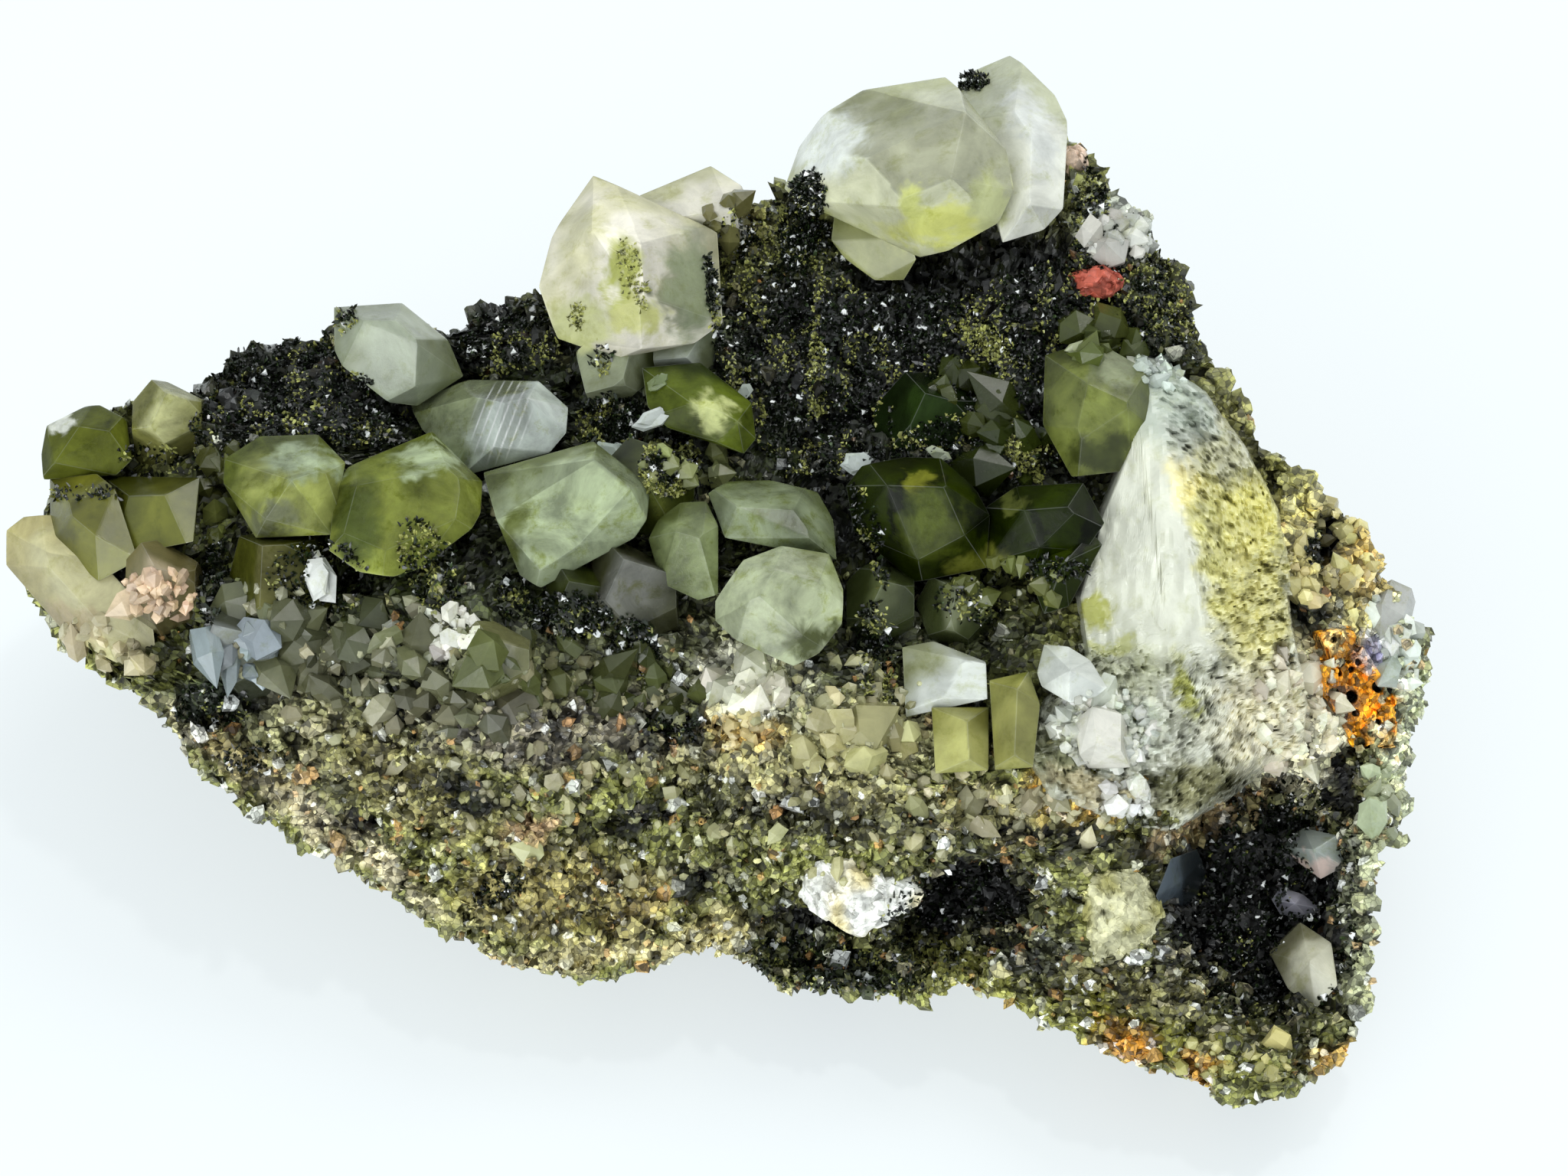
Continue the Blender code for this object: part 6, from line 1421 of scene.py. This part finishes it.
# The epidote: black to pistachio-green needles, fine as moss, that cover the druses, line the vug and fill
# the gaps between the crystals. Each is a three-sided prism with a point, rooted where a ray meets the
# surface.
NEEDLES = {  # how many for each square millimetre, share of them that is yellow-green, mean length
    "epidote_druse_left": (36, 0.26, 0.42), "epidote_druse_centre": (34, 0.30, 0.42),
    "epidote_druse_back": (36, 0.34, 0.42), "vug_epidote_crust": (24, 0.05, 0.46),
}
# Looser patches elsewhere: (u, v, half width, half height, turn, how many, share that is yellow-green)
MOSSES = [
    (-11.5, 11.0, 2.2, 1.8, 0, 900, 0.3), (-29.8, 0.6, 3.2, 2.6, 0, 620, 0.1),
    (-22.8, 1.4, 1.7, 3.2, 20, 560, 0.45), (-13.8, -1.8, 3.0, 1.5, 0, 620, 0.1),
    (-9.6, -3.8, 1.6, 2.2, 20, 460, 0.2), (5.9, -4.4, 1.3, 3.6, 5, 560, 0.45),
    (5.6, 3.4, 0.8, 3.6, 15, 260, 0.3), (14.8, 10.0, 1.0, 3.8, 32, 1500, 0.96),
    (-7.4, 8.0, 1.9, 2.2, -20, 900, 0.5), (-9.9, 20.4, 0.8, 2.6, 14, 190, 1.0),
    (-13.6, 17.8, 0.5, 1.0, 0, 90, 1.0), (-4.6, 18.6, 0.4, 3.6, 8, 300, 0.2),
    (13.6, 16.0, 3.0, 0.8, -30, 500, 0.9), (2.2, 14.6, 0.6, 3.4, 0, 400, 0.9),
    (-28.9, 17.6, 0.9, 0.9, 0, 90, 0.5), (1.6, 26.0, 1.2, 1.4, 0, 500, 0.1),
    (0.8, 23.4, 1.2, 2.2, 0, 900, 0.1), (12.4, -0.8, 2.6, 1.4, 0, 340, 0.4),
    (3.4, -24.4, 6.0, 1.7, -8, 900, 0.3), (10.8, -21.4, 5.0, 3.6, 20, 700, 0.05),
    (12.6, 33.9, 1.1, 0.7, 0, 300, 0.1), (16.4, 1.2, 3.2, 0.8, 0, 260, 0.1),
    (-36.9, 0.4, 0.9, 3.0, 0, 320, 0.0), (-12.0, 15.0, 0.8, 1.2, 0, 80, 0.4),
    (-17.4, -0.6, 1.0, 1.6, 0, 160, 0.3), (-3.2, 23.4, 1.2, 1.8, 0, 220, 0.3),
    (1.4, 23.6, 1.5, 2.6, 0, 320, 0.1), (-41.6, 8.4, 2.2, 1.2, 0, 200, 0.6),
    (20.2, 24.6, 1.4, 2.4, 0, 300, 0.3), (-45.8, 6.2, 2.8, 0.5, 0, 90, 0.2),
    (-34.0, -11.0, 2.0, 1.0, 0, 160, 0.1), (33.6, -14.0, 1.6, 1.0, 0, 140, 0.2),
    (-7.3, -8.8, 2.2, 1.2, -10, 320, 0.1), (-18.1, -19.3, 1.8, 1.0, 30, 240, 0.1),
    (-27.0, 10.6, 2.4, 1.0, 20, 260, 0.2), (-36.9, -7.8, 2.6, 1.6, 0, 300, 0.15),
    (24.0, 19.0, 2.0, 2.4, 0, 300, 0.3), (34.6, 2.6, 0.7, 1.4, 0, 120, 0.0),
]
NEEDLE_BLACK, NEEDLE_GREEN, NEEDLE_GLINT = linear(11, 17, 6), linear(152, 154, 86), linear(250, 252, 250)
GLINT_SHARE = 0.018
GARNET_PLACE = (20.6, 20.1, 1.7, 0.95, 0)
LEAST_NEEDLE_ROOM = 1.4
NEEDLE_LEAN, NEEDLE_SUNK, NEEDLE_WIDTHS = 0.75, 0.12, (0.06, 0.17)
MOSS_LENGTH, LOOSE_NEEDLE = 0.75, 0.5
needle = pointed_prism(3, [(1.0, 0.0), (0.9, 0.75)], 1.0)
epidote_finish = bpy.data.materials.new("epidote")
epidote_finish.use_nodes = True
shader = epidote_finish.node_tree.nodes["Principled BSDF"]
reader = epidote_finish.node_tree.nodes.new("ShaderNodeAttribute")
reader.attribute_name = "tone"
epidote_finish.node_tree.links.new(reader.outputs["Color"], shader.inputs["Base Color"])
shader.inputs["Roughness"].default_value = 0.2
shader.inputs["Specular IOR Level"].default_value = 0.35
shader.inputs["IOR"].default_value = 1.73


def needles(spots, looks, green, length, random):
    """Needles that lean away from the surface: black ones with a few glints, and shorter yellow-green ones
    in branching chains, as two bodies."""
    count = len(spots)
    lean = unit(looks + NEEDLE_LEAN * random.normal(size=(count, 3)))
    lean = np.where((lean * looks).sum(axis=1, keepdims=True) < 0, -lean, lean)
    chain = np.abs(clouds(spots, 2.6, 33)) + 0.35 * np.abs(clouds(spots, 0.9, 34))
    chain = chain + 0.22 * random.random(count)
    mossy = chain <= np.quantile(chain, green)
    wide = random.uniform(*NEEDLE_WIDTHS, count)
    thick = wide * random.uniform(0.5, 0.9, count)
    sizes = np.stack([wide, thick, random.uniform(0.5, 1.4, count) * length], -1)
    sizes[mossy, 2] *= MOSS_LENGTH
    black = NEEDLE_BLACK * random.lognormal(0.0, 0.9, (count, 1))
    leaf = NEEDLE_GREEN * random.uniform(0.06, 1.5, (count, 1))
    glint = random.random((count, 1)) < GLINT_SHARE
    sizes[glint[:, 0]] *= (2.0, 2.2, 0.8)
    tones = np.where(mossy[:, None], leaf, np.where(glint, NEEDLE_GLINT, black))
    roots, frames = spots - looks * NEEDLE_SUNK, upright(lean, random)
    return [
        scattered(needle, roots[kind], frames[kind], sizes[kind], tones[kind], random, 0.0)
        for kind in (~mossy, mossy)
    ]


random = np.random.default_rng(57)
for node, polygon in DRUSES.items():
    density, green, length = NEEDLES[node]
    low, high = np.min(polygon, axis=0), np.max(polygon, axis=0)
    u, v = random.uniform(low[:, None], high[:, None], (2, int(density * np.prod(high - low))))
    within = inside(u, v, polygon) & (in_ellipse(u, v, *GARNET_PLACE) > 1)
    spots, looks = surface_under(u[within], v[within])
    near = spots[:, 2] < lie(spots[:, 0], spots[:, 1]) + DRUSE_MOUND * 2 + LEAST_NEEDLE_ROOM
    black, leaf = needles(spots[near], looks[near], green, length, random)
    place = node.replace("epidote_druse_", "").replace("_epidote_crust", "")
    add_piece("needles_" + place, *black, epidote_finish, "epidote", [node])
    add_piece("moss_" + place, *leaf, epidote_finish, "epidote")
patches = [[], []]
for *patch, count, green in MOSSES:
    spots, looks = surface_under(*in_patch(*patch, count, random))
    for kind, body in zip(patches, needles(spots, looks, green, LOOSE_NEEDLE, random)):
        kind.append(body)
for name, bodies in zip(("needles_in_the_gaps", "moss_in_the_gaps"), patches):
    add_piece(name, *joined(bodies), epidote_finish, "epidote")

bpy.context.view_layer.update()
